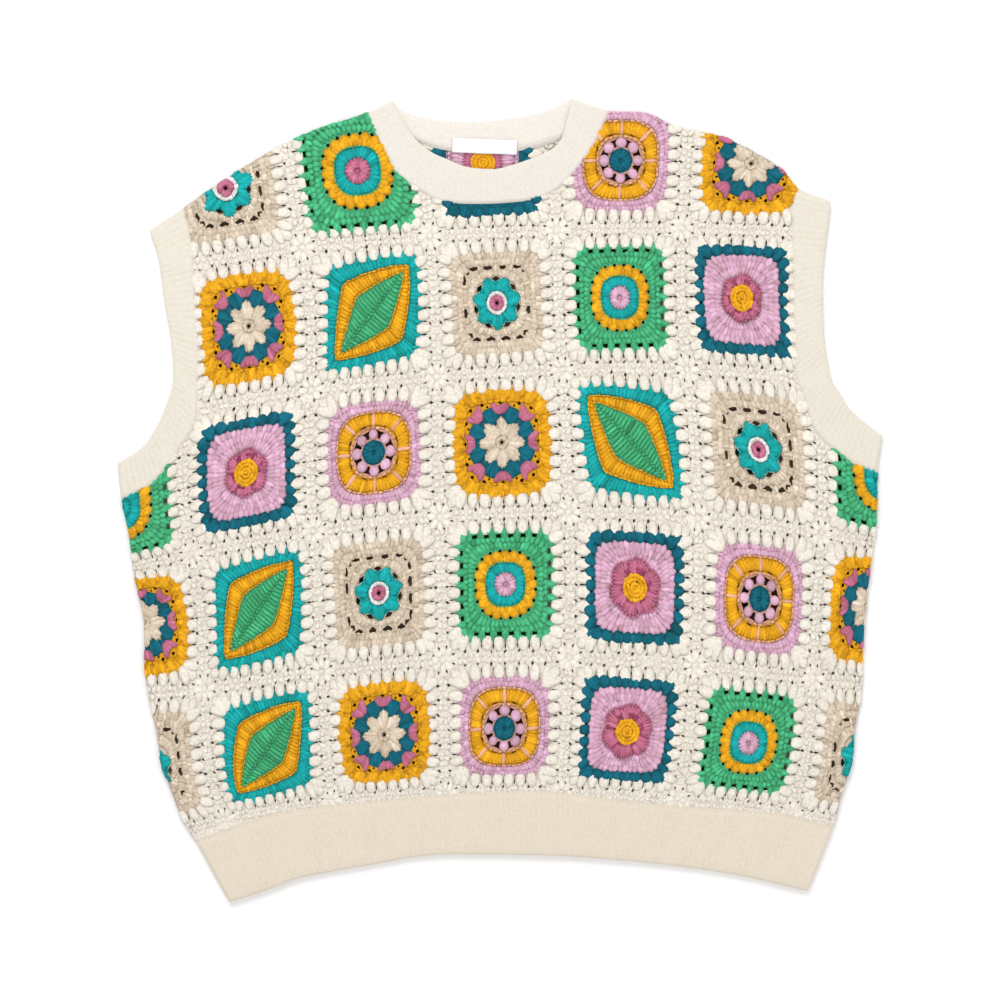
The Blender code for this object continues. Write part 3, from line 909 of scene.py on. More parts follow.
    def gaps(self) -> list:
        """Outlines of all openings, those between the puffs and in the rosettes too."""
        found = [shape * self.size for shape in self.motif_gaps()]
        for quarter, turn in enumerate(quarter_turns()):
            for across, height in zip(SLITS, self.edge_heights(SLITS, quarter)):
                long, wide = self.pile.random.uniform((2.2, 0.5), (3.3, 0.95))
                middle = np.array([across, height + 2.4 + long])
                found.append(diamond(middle, long, wide, math.pi / 2) @ turn)
                if self.pile.random.random() < DOT_CHANCE:
                    dot = np.array([across * 1.16, max(height + 3.4 + 2 * long, EDGE - 4.6)])
                    slant, wide = self.pile.random.uniform((0.6, 0.8), (1.6, 1.4))
                    found.append(diamond(dot, 2.0, wide, slant) @ turn)
            for angle in (21, 45, 69):
                far = 10.6 if angle == 45 else 9.0 + self.pile.random.uniform(-0.8, 1.6)
                hub = np.array([EDGE, EDGE]) - polar(far, 1, angle)[0]
                found.append(diamond(hub, 1.7, 0.85, math.radians(angle)) @ turn)
        return found


@dataclass
class Sunburst(Square):
    """Green square round a disc of pink or another yarn, turquoise and marigold."""

    centre: Yarn = Yarn.PINK
    edge_yarn = Yarn.GREEN

    def __post_init__(self) -> None:
        """Sets out the zones."""
        super().__post_init__()
        self.zones = ((Yarn.GREEN, self.edge), (Yarn.MARIGOLD, Ring(23.2, 2.6)),
                      (Yarn.TURQUOISE, Ring(15.4, 2.7)), (self.centre, Ring(8.4)))

    def motif(self) -> None:
        """Adds the coloured stitches."""
        self.round(self.centre, Ring(1.4), Ring(9.6), 18, "spike", level=1.3)
        self.chain(self.centre, Ring(3.0), 8, 2.2, 2.0, 1.9)
        self.round(Yarn.TURQUOISE, Ring(8.0), Ring(15.8, 2.7), 34, cover=1.4, thick=2.0)
        self.round(Yarn.MARIGOLD, Ring(15.0, 2.7), Ring(24.9, 2.6), 20, "petal", cover=0.9)
        self.round(Yarn.MARIGOLD, Ring(15.2, 2.7), Ring(21.6, 2.6), 40, cover=1.15, level=1.2)
        self.chain(Yarn.GREEN, Ring(15.8, 2.7), 34, 1.3, 1.6, 1.9)
        self.round(Yarn.GREEN, Ring(24.6, 2.8), Ring(30.6, 5), 56, "petal", cover=1.0,
                   thick=2.7, level=1.1)
        self.round(Yarn.GREEN, Ring(29.0, 5), Ring(33.8, 7), 60, "petal", 0.4, cover=1.0,
                   thick=2.8, level=1.3)
        self.chain(Yarn.GREEN, Ring(37.0, 8), 46, 3.0, 2.4, 1.1)
        self.side_rows(Yarn.GREEN, (0.0, 9.7, 19.2, 28.0, 33.0), 0.97, 30.8, 37.6, 5.6)

    def motif_gaps(self) -> list:
        """Outlines of the motif's openings."""
        found = diamonds(Ring(23.9, 2.6).points(20, 0.5), 1.5, 1.6)
        for turn in quarter_turns():
            for across in (-23.6, -14.4, -4.8, 4.8, 14.4, 23.6):
                shape = np.array([(-2.1, 33.2), (2.2, 33.4), (1.6, 36.7), (-1.9, 36.5)])
                found.append((shape + [across, 0]) @ turn)
        return found


@dataclass
class Leaf(Square):
    """Turquoise square with a green leaf on marigold, along one diagonal."""

    lean: float = 45.0
    edge_yarn = Yarn.TURQUOISE

    def __post_init__(self) -> None:
        """Sets out the rings along the diagonal, and the zones."""
        super().__post_init__()
        self.edge = Ring(55.0, 1.1, 47.0, self.lean)
        self.middle = Ring(44.5, 1.18, 31.0, self.lean)
        self.leaf = Ring(39.5, 1.12, 17.4, self.lean)
        self.zones = ((Yarn.TURQUOISE, self.edge), (Yarn.MARIGOLD, self.middle),
                      (Yarn.GREEN, self.leaf))

    def motif(self) -> None:
        """Adds the coloured stitches."""
        self.round(Yarn.TURQUOISE, self.middle, self.edge, 84, cover=1.08, thick=2.8)
        self.round(Yarn.MARIGOLD, self.leaf, Ring(44.0, 1.18, 30.5, self.lean), 72, cover=1.05,
                   thick=2.8)
        self.chain(Yarn.MARIGOLD, self.middle, 60, 1.6, 1.8, 1.9)
        self.chain(Yarn.MARIGOLD, self.leaf, 50, 1.4, 1.6, 1.9)
        a = math.radians(self.lean)
        axes = np.array([[math.cos(a), math.sin(a)], [-math.sin(a), math.cos(a)]])
        along = np.linspace(-35.5, 34.5, 25)
        tip = along + 1.6
        width = 17.0 * np.clip(1 - np.abs(tip / 39.5) ** 1.12, 0.04, 1)
        start = np.column_stack([along, np.zeros(25)]) @ axes
        for side in (-width, width):
            end = np.column_stack([tip, side]) @ axes
            self.strands(Yarn.GREEN, start, end, 2.7, "post", 3.2, 1.3)
        vein = np.column_stack([np.linspace(-38, 37, 27), np.zeros(27)]) @ axes
        self.strands(Yarn.GREEN, vein[:-1], vein[1:], 1.8, "chain", 1.8, 1.9)


class Lace(Square):
    """Beige openwork square round a turquoise flower."""

    edge_yarn = Yarn.SAND
    tooth = 2.4
    zones = ((Yarn.SAND, Square.edge), (Yarn.TURQUOISE, Ring(16.6)), (Yarn.WHITE, Ring(8.2)),
             (Yarn.ROSE, Ring(5.4)))

    def motif(self) -> None:
        """Adds the coloured stitches."""
        big = 1.0 if self.row else 1.12      # the flower by the shoulder is a little larger
        self.round(Yarn.ROSE, Ring(1.6), Ring(6.0 * big), 11, level=1.4)
        self.round(Yarn.WHITE, Ring(5.6 * big), Ring(8.8 * big), 16, cover=1.3, level=1.2)
        self.chain(Yarn.WHITE, Ring(7.7 * big), 16, 2.6, 2.4, 1.7)
        self.fans(Yarn.TURQUOISE, 7, -90.0, 8.2 * big, 20.6 * big, 17, 7, 3.6 * big, pinch=1.4,
                  droop=0.26, thick=2.2, level=1.7)
        self.round(Yarn.SAND, Ring(19.0), Ring(24.2, 3.2), 49, cover=1.5, thick=1.7, level=0.9)
        self.fans(Yarn.SAND, 7, -64.3, 19.2, 24.4, 18, 7, 3.8, pinch=0.9, droop=0.1, thick=1.8)
        self.round(Yarn.SAND, Ring(27.6, 5), Ring(33.2, 7), 60, cover=1.6, thick=1.6)
        self.round(Yarn.SAND, Ring(31.4, 7), Ring(38.2, 8), 72, cover=1.5, phase=0.5,
                   thick=1.9)
        self.chain(Yarn.SAND, Ring(27.9, 5.5), 48, 2.0, 1.6, 1.2)
        self.side_rows(Yarn.SAND, (0.0, 14.0, 26.8), 0.86, 22.0, 28.6, 3.0, "post", 2.2, 1.2)

    def motif_gaps(self) -> list:
        """Outlines of the motif's openings."""
        found = diamonds(polar(17.8, 7, -64.3), 1.9, 3.8) + [polar(1.4, 8)]
        for side, turn in enumerate(quarter_turns()):
            for middle in (-17.6, -6.1, 6.2, 17.8):
                wide, deep = self.pile.random.uniform((2.8, 0.3), (4.3, 1.6))
                far = 25.6
                if side == 2:
                    far, deep = 26.2, deep + 1.4
                elif side and self.pile.random.random() < 0.3:
                    continue
                shape = np.array([(-wide, -0.4), (-wide * 0.1, -0.6 - deep), (wide, -0.3),
                                  (wide * 0.7, 1.5 + deep * 0.2), (-wide * 0.8, 1.3 + deep * 0.3)])
                found.append((shape + [middle, far]) @ turn)
            size = 2.3 if side in (2, 3) else 1.4
            found.append(diamond(np.full(2, 22.6), size, size * 1.2) @ turn)
        return found


class Star(Square):
    """Marigold square round a beige star flower with petrol and rose clusters."""

    edge = Ring(38.2, 4.8)
    edge_yarn = Yarn.MARIGOLD
    tooth = 2.4
    tooth_reach = 3.6
    zones = ((Yarn.MARIGOLD, edge), (Yarn.PETROL, Ring(27.0)), (Yarn.SAND, Ring(12.0)))

    def motif(self) -> None:
        """Adds the coloured stitches."""
        self.fans(Yarn.SAND, 8, 0.0, 3.8, 19.4, 14.5, 5, 5.0, pinch=1.25, droop=0.22, level=1.6)
        self.round(Yarn.SAND, Ring(1.4), Ring(5.4), 13, "petal", level=1.8)
        self.chain(Yarn.SAND, Ring(3.6), 9, 3.0, 1.8, 2.3)
        self.fans(Yarn.PETROL, 8, 22.5, 13.6, 27.2, 11.5, 5, 4.9, "puff", thick=2.8)
        for first, inner, outer, spread, width in ((0.0, 20.8, 27.8, 13, 4.8),
                                                   (45.0, 22.4, 31.4, 11, 5.0)):
            self.fans(Yarn.ROSE, 4, first, inner, outer, spread, 4, width, "puff", 0.25, -0.06,
                      2.8, 1.8)
        self.round(Yarn.MARIGOLD, Ring(28.8, 4.4), self.edge, 60, cover=1.35, phase=1.5,
                   thick=2.8, skip=3)
        self.round(Yarn.MARIGOLD, Ring(33.0, 4.6), Ring(38.8, 4.8), 72, thick=2.4, level=1.1)
        self.chain(Yarn.MARIGOLD, Ring(30.2, 4.4), 44, 2.4, 2.2, 1.5)
        self.side_rows(Yarn.MARIGOLD, (2.6, 6.0, 9.4), 0.7, 31.0, 40.0, 4.2, "puff", 2.8, 1.2, 0.06)

    def motif_gaps(self) -> list:
        """Outlines of the motif's openings."""
        found = [polar(1.3, 8)]
        for middle in np.arange(8) * 45 + 22.5:
            for far, turn, long in ((28.4, 0, 1.2), (25.6, -14, 2.2), (25.6, 14, 2.2),
                                    (17.6, -9, 1.6), (17.6, 9, 1.6)):
                found += diamonds(polar(far, 1, middle + turn), long, 1.1)
        for first, far in ((28, 31.6), (62, 31.6), (45, 34.2)):
            found += diamonds(polar(far, 4, first), 1.6, 1.8)
        found += diamonds(polar(29.2, 4), 1.5, 2.2)
        return found + diamonds(Ring(35.0, 4.8).points(20, 0.5), 1.9, 1.0)


class Rose(Square):
    """Pink square edged with petrol, round a raised rose flower with a marigold dome."""

    edge = Ring(36.4, 9)
    edge_yarn = Yarn.PETROL
    tooth = 8.6
    zones = ((Yarn.PETROL, edge), (Yarn.PINK, Ring(28.0, 5)), (Yarn.ROSE, Ring(15.0)),
             (Yarn.MARIGOLD, Ring(8.0)))

    def motif(self) -> None:
        """Adds the coloured stitches."""
        self.round(Yarn.PETROL, Ring(30.6, 7), Ring(39.0, 9), 30, "puff", cover=0.78,
                   thick=3.4, level=1.3)
        corner = np.array([30.0, 30.0])
        for turn in quarter_turns():
            for end in ((41.0, 36.0), (36.0, 41.0), (40.0, 40.0)):
                self.strands(Yarn.PETROL, corner @ turn, end @ turn, 7.0, "spike", 2.8, 1.1)
        wide = 32.8 if self.row else 27.8      # the row by the neck keeps a broader edge
        for inner, outer, count, power in ((24.6, wide, 50, 5.0), (19.6, wide - 3.6, 56, 4.0),
                                           (13.8, 24.6, 46, 2.8)):
            self.round(Yarn.PINK, Ring(inner, power - 0.4), Ring(outer, power), count, "petal",
                       0.5 * (count % 4), 1.15, level=1.1)
        self.round(Yarn.ROSE, Ring(9.0), Ring(15.6), 34, thick=2.2, level=1.5)
        reach = 21.2 if self.column > 0 and self.row > 1 else 17.6
        for middle in range(20, 380, 60):
            self.petal(middle, reach)
        # Dark wine strands paint shade round the dome's foot and a shadow crescent on the flower's
        # upper right.
        self.round(Yarn.WINE, Ring(9.6), Ring(11.6), 24, cover=1.1, thick=2.4, level=3.0)
        for angle in range(14, 128, 9):
            self.strands(Yarn.WINE, polar(11.4, 1, angle), polar(14.6, 1, angle + 4), 2.6,
                         "post", 1.6, 3.6)
        for reach, count, level in ((10.2, 20, 4.1), (7.6, 15, 4.7), (4.6, 9, 5.2)):
            self.round(Yarn.MARIGOLD, Ring(reach - 3.4), Ring(reach), count, "bead", thick=2.8,
                       level=level, rise=-0.6)
        self.strands(Yarn.MARIGOLD, [[-1.8, 0.3]], [[1.8, -0.3]], 3.2, "bead", 2.4, 5.2)

    def petal(self, middle: float, reach: float) -> None:
        """Adds a raised petal: its strands, its rim and a dark strand that paints the shade in the
        crease before the next one.

        Args:
            middle: angle of its middle, in degrees.
            reach: distance of its tip from the square's middle.
        """
        droop = 0.0034              # how much shorter it is at its sides, for each degree squared
        for spread in np.linspace(-29, 29, 9):
            lift = 2.1 + 1.4 * (spread + 29) / 58
            start = polar(7.4, 1, middle + spread * 0.7)
            end = polar(reach - droop * spread ** 2, 1, middle + spread)
            self.strands(Yarn.ROSE, start, end, 3.0, "post", 2.0, lift, 0.6)
        rim = np.vstack([polar(reach - 0.3 - droop * spread ** 2, 1, middle + spread)
                         for spread in np.linspace(-32, 30, 8)])
        for start, end, lift in zip(rim[:-1], rim[1:], np.linspace(2.8, 4.2, 7)):
            self.strands(Yarn.ROSE, [start], [end], 2.4, "chain", 2.0, lift)
        # painted shade in the crease
        crease = polar(1.0, 1, middle - 31.5)
        self.strands(Yarn.WINE, crease * 9.5, crease * (reach - 1.6), 2.0, "post", 2.4, 3.3, 0.6)

    def motif_gaps(self) -> list:
        """Outlines of the motif's openings."""
        return (diamonds(polar(41.0, 4, 45), 3.0, 1.2)
                + diamonds(Ring(34.6, 8).points(30, 0.5), 1.5, 1.0))


class Mandala(Square):
    """Pink square round marigold arcs and eight pink bobbles on a petrol disc."""

    edge = Ring(37.6, 4.2)
    edge_yarn = Yarn.PINK
    tooth = 2.0
    tooth_reach = 3.4
    zones = ((Yarn.PINK, edge), (Yarn.MARIGOLD, Ring(29.2, 3)), (Yarn.SALMON, Ring(18.0, 2.4)),
             (Yarn.PETROL, Ring(9.2)))

    def motif(self) -> None:
        """Adds the coloured stitches."""
        self.round(Yarn.PETROL, Ring(1.0), Ring(8.8), 15, cover=1.1, level=1.2)
        self.chain(Yarn.PETROL, Ring(5.2), 13, 2.0, 2.0, 1.9)
        self.strands(Yarn.PINK, polar(9.0, 8), polar(17.6, 8), 8.4, "bead", 4.2, 1.8)
        self.chain(Yarn.SALMON, Ring(17.9, 2.4), 30, 2.3, 2.4, 1.7)
        self.round(Yarn.MARIGOLD, Ring(18.9, 2.6), Ring(28.8, 3), 64, cover=1.25, thick=2.4,
                   level=1.2, skip=8)
        self.round(Yarn.SALMON, Ring(18.0, 2.6), Ring(29.4, 3), 8, cover=0.13, level=1.6)
        self.chain(Yarn.SALMON, Ring(29.3, 3), 46, 2.2, 2.0, 1.7)
        self.round(Yarn.PINK, Ring(29.4, 3.1), Ring(34.6, 3.8), 72, "post", 0.5, 1.45, 2.1)
        self.round(Yarn.PINK, Ring(33.4, 3.8), self.edge, 80, cover=1.4, thick=2.1)

    def motif_gaps(self) -> list:
        """Outlines of the motif's openings."""
        found = [np.array([polar(9.8, 1, a)[0], polar(16.6, 1, a - 16)[0],
                           polar(16.6, 1, a + 16)[0]]) for a in np.arange(8) * 45 + 22.5]
        found += diamonds(Ring(19.4, 2.5).points(8, 0.5), 0.8, 3.2)
        return found + diamonds(polar(41.0, 4, 45), 2.0, 1.0)


# ------------------------------------------------------------------ meshes

class MeshParts:
    """Points and faces gathered for one piece."""

    def __init__(self) -> None:
        """Starts empty."""
        self.points, self.faces, self.slots, self.uvs, self.crests = [], [], [], [], []
        self.count = 0

    def add(self, points: np.ndarray, faces: list, slot: int | np.ndarray, uv: np.ndarray,
            crest: np.ndarray) -> None:
        """Adds points and their faces.

        Args:
            points: points in metres.
            faces: arrays of corners, one for each number of corners.
            slot: material of the faces, or an array for each face of the one array.
            uv: a UV for each point.
            crest: how high on its stitch each point is, 0 to 1; it paints shade, lower being
                darker.
        """
        for corners in faces:
            self.faces.append(corners + self.count)
            self.slots.append(np.broadcast_to(slot, len(corners)))
        self.points.append(points)
        self.uvs.append(uv)
        self.crests.append(crest)
        self.count += len(points)

    def build(self, name: str, materials: list, flip: bool = False) -> bpy.types.Object:
        """Makes the piece.

        Args:
            name: the piece's name.
            materials: its materials, in the order of the slots.
            flip: whether the faces' order is turned round.

        Returns:
            The new object.
        """
        faces = [corners[:, ::-1] if flip else corners for corners in self.faces]
        sizes = np.concatenate([np.full(len(c), c.shape[1]) for c in faces])
        corners = np.concatenate([c.ravel() for c in faces]).astype(np.int32)
        starts = (np.cumsum(sizes) - sizes).astype(np.int32)
        slots = np.concatenate(self.slots).astype(np.int32)
        uvs = np.concatenate(self.uvs)[corners].astype(np.float32)
        mesh = bpy.data.meshes.new(name)
        mesh.vertices.add(self.count)
        mesh.vertices.foreach_set("co", np.concatenate(self.points).astype(np.float32).ravel())
        mesh.loops.add(len(corners))
        mesh.loops.foreach_set("vertex_index", corners)
        mesh.polygons.add(len(sizes))
        mesh.polygons.foreach_set("loop_start", starts)
        mesh.polygons.foreach_set("material_index", slots)
        mesh.update(calc_edges=True)
        mesh.uv_layers.new(name="UVMap").data.foreach_set("uv", uvs.ravel())
        crest = mesh.attributes.new("crest", "FLOAT", "POINT")
        crest.data.foreach_set("value", np.concatenate(self.crests).astype(np.float32))
        for material in materials:
            mesh.materials.append(material)
        mesh.shade_smooth()
        mesh.validate()
        item = bpy.data.objects.new(name, mesh)
        bpy.context.scene.collection.objects.link(item)
        return item


class CrochetPanel:
    """One layer of the crochet body: its ground and its squares."""

    chart = (".CAEFD.", ".DBCAE.", "AEFDbCA", "DBCAEFD", "CBDFEAC")
    stray = 1.5           # how far past the outline the middle of a stitch may lie
    pressed = 0.2         # height left to the stitches of the back that the neck leaves open
    sunk = 0.7            # and how much lower they lie
    level = {Layer.FRONT: 1.0, Layer.BACK: 0.1}      # height of the ground
    zone_points = 28      # corners of a coloured zone
    rim_gap = 4.0         # least distance of an opening from the outline

    def __init__(self, layer: Layer, cloth: Cloth, finishes: dict, grounds: dict) -> None:
        """Reads the chart.

        Args:
            layer: front or back.
            cloth: the flattened vest.
            finishes: a material for each yarn.
            grounds: a material for each yarn, darkened with painted shade, for the cloth between
                the stitches.
        """
        self.layer = layer
        self.cloth = cloth
        self.shift = np.array([0.0 if layer is Layer.FRONT else BACK_SHIFT, 0.0])
        self.finishes = finishes
        self.grounds = grounds
        self.yarns = list(Yarn)
        self.squares = [self.square(letter, index - 3, row)
                        for row, letters in enumerate(self.chart)
                        for index, letter in enumerate(letters) if letter != "."]

    def square(self, letter: str, column: int, row: int) -> Square:
        """The square that a letter of the chart stands for.

        Args:
            letter: its letter in the chart.
            column: its column.
            row: its row.

        Returns:
            The square.
        """
        if letter in "Bb":
            return Leaf(column, row, self.layer, lean=45.0 if letter == "B" else 135.0)
        if letter == "A" and row == 0:
            return Sunburst(column, row, self.layer, 1.13, Yarn.ROSE)
        if letter == "A" and abs(column) == 3:
            return Sunburst(column, row, self.layer, 1.06, Yarn.TURQUOISE)
        kinds = {"A": Sunburst, "C": Lace, "D": Star, "E": Rose, "F": Mandala}
        return kinds[letter](column, row, self.layer)

    def on_body(self, square: Square, local: np.ndarray) -> np.ndarray:
        """Places on the flattened vest of points of a square."""
        return self.shift + self.cloth.grid.place(square.column + local[:, 0] / PITCH,
                                                  square.row - local[:, 1] / PITCH)

    def build(self) -> bpy.types.Object:
        """Returns:
            The ground.
        """
        side = self.layer.name.lower()
        pieces = []
        for square in self.squares:
            piece = self.build_square(square, f"{side}_square_{square.row + 1}_{square.column + 4}")
            if piece:
                pieces.append(piece)
        ground = self.build_ground(f"{side}_ground")
        for piece in [ground] + pieces:
            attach(piece, "root")
        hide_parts(f"{side}_panel")
        total = sum(len(p.vertices) - 2 for item in [ground] + pieces for p in item.data.polygons)
        LOG.info("%s layer: %d squares, %d triangles", side, len(pieces), total)
        return ground

    def build_square(self, square: Square, name: str) -> bpy.types.Object | None:
        """Makes the stitches of a square.

        Args:
            square: the square.
            name: the piece's name.

        Returns:
            The piece, or None where all of it lies outside the layer.
        """
        square.motif()
        square.joining()
        open_neck = self.layer is Layer.BACK and square.row == 0 and abs(square.column) < 2
        forms = WHOLE if open_neck else FINE if self.layer is Layer.FRONT else COARSE
        parts = MeshParts()
        for (form, yarn), tables in square.pile.rows.items():
            table = np.vstack(tables)
            middle = self.on_body(square, (table[:, :2] + table[:, 2:4]) / 2)
            near = np.abs(self.cloth.rims[self.layer].reach(middle)[0]) < self.stray
            table = table[self.cloth.holds(middle, self.layer) | near]
            if open_neck:
                table[:, 6:] *= self.pressed
                table[:, 6] -= self.sunk
            if len(table):
                self.add_stitches(parts, square, forms[form], yarn, table)
        if not parts.count:
            return None
        return parts.build(name, list(self.finishes.values()), self.layer is Layer.BACK)

    def inner_limit(self, flat: np.ndarray) -> np.ndarray:
        """The lowest height of the cloth's inner side: less where the neck leaves it open."""
        if self.layer is Layer.FRONT:
            return np.full(len(flat), -INNER_REACH)
        covered = self.cloth.holds(flat, Layer.FRONT)
        return np.where(covered, -INNER_REACH, -OPEN_REACH)

    def add_stitches(self, parts: MeshParts, square: Square, form: StitchForm, yarn: Yarn,
                     table: np.ndarray) -> None:
        """Adds one kind of stitch of a square to its parts.

        Args:
            parts: the parts.
            square: the square.
            form: the stitch's form.
            yarn: its yarn.
            table: starts, ends, widths, thicknesses, levels and rises.
        """
        unit, quads, tris, uv, crest = form.parts()
        run = table[:, 2:4] - table[:, :2]
        length = np.linalg.norm(run, axis=1)
        ahead = run / length[:, None]
        aside = np.column_stack([-ahead[:, 1], ahead[:, 0]])
        width, thick, level, rise = table[:, 4:, None].transpose(1, 0, 2)
        local = (table[:, None, :2] + unit[None, :, 0:1] * run[:, None]
                 + unit[None, :, 1:2] * (aside * width)[:, None])
        height = (level + unit[:, 2] * thick + unit[:, 0] * rise).ravel()
        flat = self.on_body(square, local.reshape(-1, 2))
        margin = self.cloth.seam_margin(flat, self.layer)
        sinking = np.clip(0.6 + margin * 0.4, 0.0, 1)        # lower where a band is sewn on
        height = np.where(margin < 1.0, height * sinking, height)
        height = np.maximum(height, self.inner_limit(flat))
        points = self.cloth.lay(flat, height, self.layer)
        count, size = len(table), len(unit)
        shift = (np.arange(count) * size)[:, None, None]
        faces = [(quads[None] + shift).reshape(-1, 4), (tris[None] + shift).reshape(-1, 3)]
        girth = table[:, 4] * 3                              # about the way round a stitch
        scaled = uv[None] * np.stack([girth, length], 1)[:, None]
        crest = np.tile(crest, count) + np.repeat(square.pile.random.normal(0, 0.2, count), size)
        # On the back, painted shade darkens the inner side where the front covers it; where the
        # neck leaves it open it is set nearly full bright instead.
        if self.layer is Layer.BACK:
            inner = np.tile(unit[:, 2] < 0.1, count)
            hidden = self.cloth.holds(flat, Layer.FRONT)
            crest = np.where(inner, np.where(hidden, PAINTED_SHADE_CREST, 0.9), crest)
        parts.add(points, faces, self.yarns.index(yarn), scaled.reshape(-1, 2), crest)

    def open_gaps(self, square: Square) -> list:
        """The gaps of a square that are cut: of the upper cloth, clear of its outline.

        Args:
            square: the square.

        Returns:
            Outlines in the square's own mm.
        """
        if self.layer is Layer.BACK:
            return []
        shapes = square.gaps()
        middles = np.array([shape.mean(0) for shape in shapes])
        distance = self.cloth.rims[self.layer].reach(self.on_body(square, middles))[0]
        return [shape for shape, far in zip(shapes, distance) if far > self.rim_gap]

    def build_ground(self, name: str) -> bpy.types.Object:
        """Makes the cloth between and under the stitches, with its openings cut out.

        Args:
            name: the piece's name.

        Returns:
            The ground.
        """
        cuts = [(square, self.open_gaps(square)) for square in self.squares]
        loops = [self.cloth.outlines[self.layer]]
        for square, shapes in cuts:
            loops += [self.on_body(square, shape) for shape in shapes]
            loops += [self.on_body(square, ring.points(self.zone_points) * square.size)
                      for _, ring in square.zones]
        flat, faces = triangles_within(loops)
        faces = faces[self.cloth.holds(flat[faces].mean(1), self.layer)]
        cell = self.cloth.grid.locate(flat[faces].mean(1) - self.shift)
        whole = np.rint(cell)
        local = (cell - whole) * [PITCH, -PITCH]
        slots = np.full(len(faces), self.yarns.index(Yarn.CREAM))
        keep = np.ones(len(faces), bool)
        for square, shapes in cuts:
            own = np.where((whole == [square.column, square.row]).all(1))[0]
            for yarn, ring in square.zones:
                held = own[ring.holds(local[own] / square.size)]
                slots[held] = self.yarns.index(yarn)
            for shape in shapes:
                keep[own[inside(local[own], shape)]] = False
        used, faces = np.unique(faces[keep], return_inverse=True)
        flat = flat[used]
        # Painted shade: the ground is shaded as if half way down a stitch, and deeply on the back
        # where the front covers it.
        crest = np.full(len(flat), 0.5)
        if self.layer is Layer.BACK:
            crest[self.cloth.holds(flat, Layer.FRONT)] = PAINTED_SHADE_CREST
        level = np.full(len(flat), self.level[self.layer])
        parts = MeshParts()
        parts.add(self.cloth.lay(flat, level, self.layer), [faces.reshape(-1, 3)], slots[keep],
                  flat / 2, crest)
        return parts.build(name, list(self.grounds.values()), self.layer is Layer.BACK)


def triangles_within(loops: list) -> tuple:
    """Triangles over the plane between closed loops, with the loops as edges.

    Args:
        loops: arrays of corners.

    Returns:
        Their corners' places and the corners of each triangle.
    """
    places, sides = [], []
    for loop in loops:
        first, size = len(places), len(loop)
        places += [Vector(point) for point in loop]
        sides += [(first + k, first + (k + 1) % size) for k in range(size)]
    mesh = delaunay_2d_cdt(places, sides, [], 1, 1e-4, True)
    flat = np.array([tuple(vert) for vert in mesh[0]])
    return flat, np.array([face for face in mesh[2] if len(face) == 3])


@dataclass
class RibBand:
    """A ring of rib knit, flattened into a front and a back layer."""

    node: str
    yarn: Yarn
    pitch: float
    cut: tuple                # length and width of the strip, in metres
    front: tuple              # seam and free edge of the front layer
    back: tuple = ()          # the same of the back layer where they differ
    depth: float = 0.32       # of the grooves
    shade: float = 0.14       # how much darker painted shade makes the grooves
    overlap: float = 1.6      # how far the seam edge lies over the panel
    samples: int = 6          # stations to a rib
    rows: int = 9             # rows of points across the face

    def sections(self, layer: Layer, cloth: Cloth) -> tuple:
        """Wall sections of one layer, from the first fold to the last.

        Args:
            layer: the layer.
            cloth: the flattened vest.

        Returns:
            Points and UVs, both as stations by points, and crests.
        """
        edges = self.front if layer is Layer.FRONT else self.back or self.front
        seam, free = (smooth_curve(points, 2.0) for points in edges)
        ribs = round(path_lengths(seam)[-1] / self.pitch)
        count = ribs * self.samples + 1
        past = LAYER_RISE * (math.pi / 2 - 1)
        seams, frees = (even_points(path, count, past) for path in (seam, free))
        across = frees - seams
        width = np.linalg.norm(across, axis=1)[:, None]
        seams = seams - across / width * self.overlap
        phase = np.arange(count) / self.samples
        crest = 0.5 + 0.5 * np.cos(2 * math.pi * phase)
        ridge = -self.depth * (1 - crest) ** 1.3
        wide, top, under = 30.0, 1.42, -1.4      # a band's rough width, its faces' heights
        # Rows of the section: share across, height, how ribbed, and brightness, which paints shade
        # on the fold and light on the inner face.
        profile = [(t * (1 - 1.3 / wide), top, 1.0, 1.0) for t in np.linspace(0, 1, self.rows)]
        profile += [(1 - 0.4 / wide, 0.95, 0.6, 1.0), (1.0, 0.0, 0.2, 0.9),
                    (1 - 0.4 / wide, -0.95, 0.0, 1.0), (1 - 1.3 / wide, under, 0.0, 1.1)]
        profile += [(t, under, 0.0, 1.1) for t in (0.75, 0.5, 0.25, 0.0)]
        points, uvs, crests = [], [], []
        for share, height, ribbed, bright in profile:
            flat = seams + (frees - seams) * share
            taper = min(1.0, (share + 0.06) * 9)
            inner_rib = 0.7 if height < -1 else 0.0
            fade = 0.6 + 0.4 * np.sin(phase * 0.9 + 4 * share) * np.sin(phase * 0.31 + 2)
            level = height + ridge * fade * (ribbed * taper - inner_rib)
            points.append(cloth.lay(flat, level, layer))
            uvs.append(np.column_stack([phase, share * width.ravel()]))
            # painted shade in the grooves
            crests.append(bright * (1 - self.shade * (1 - crest) * fade))
        return np.stack(points, 1), np.stack(uvs, 1), np.stack(crests, 1)

    def build(self, cloth: Cloth, materials: dict) -> bpy.types.Object:
        """Makes the band.

        Args:
            cloth: the flattened vest.
            materials: the rib's material for each yarn.

        Returns:
            The band.
        """
        upper = self.sections(Layer.FRONT, cloth)
        lower = self.sections(Layer.BACK, cloth)
        ring = [np.concatenate([a, b[::-1][1:-1]]) for a, b in zip(upper, lower)]
        quads = quad_grid(*ring[0].shape[:2], tube=True)
        parts = MeshParts()
        parts.add(ring[0].reshape(-1, 3), [quads], 0, ring[1].reshape(-1, 2), ring[2].ravel())
        band = parts.build(self.node + "_rib", [materials[self.yarn]])
        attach(band, "root")
        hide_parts(self.node)
        LOG.info("%s: %d faces", band.name, len(band.data.polygons))
        return band


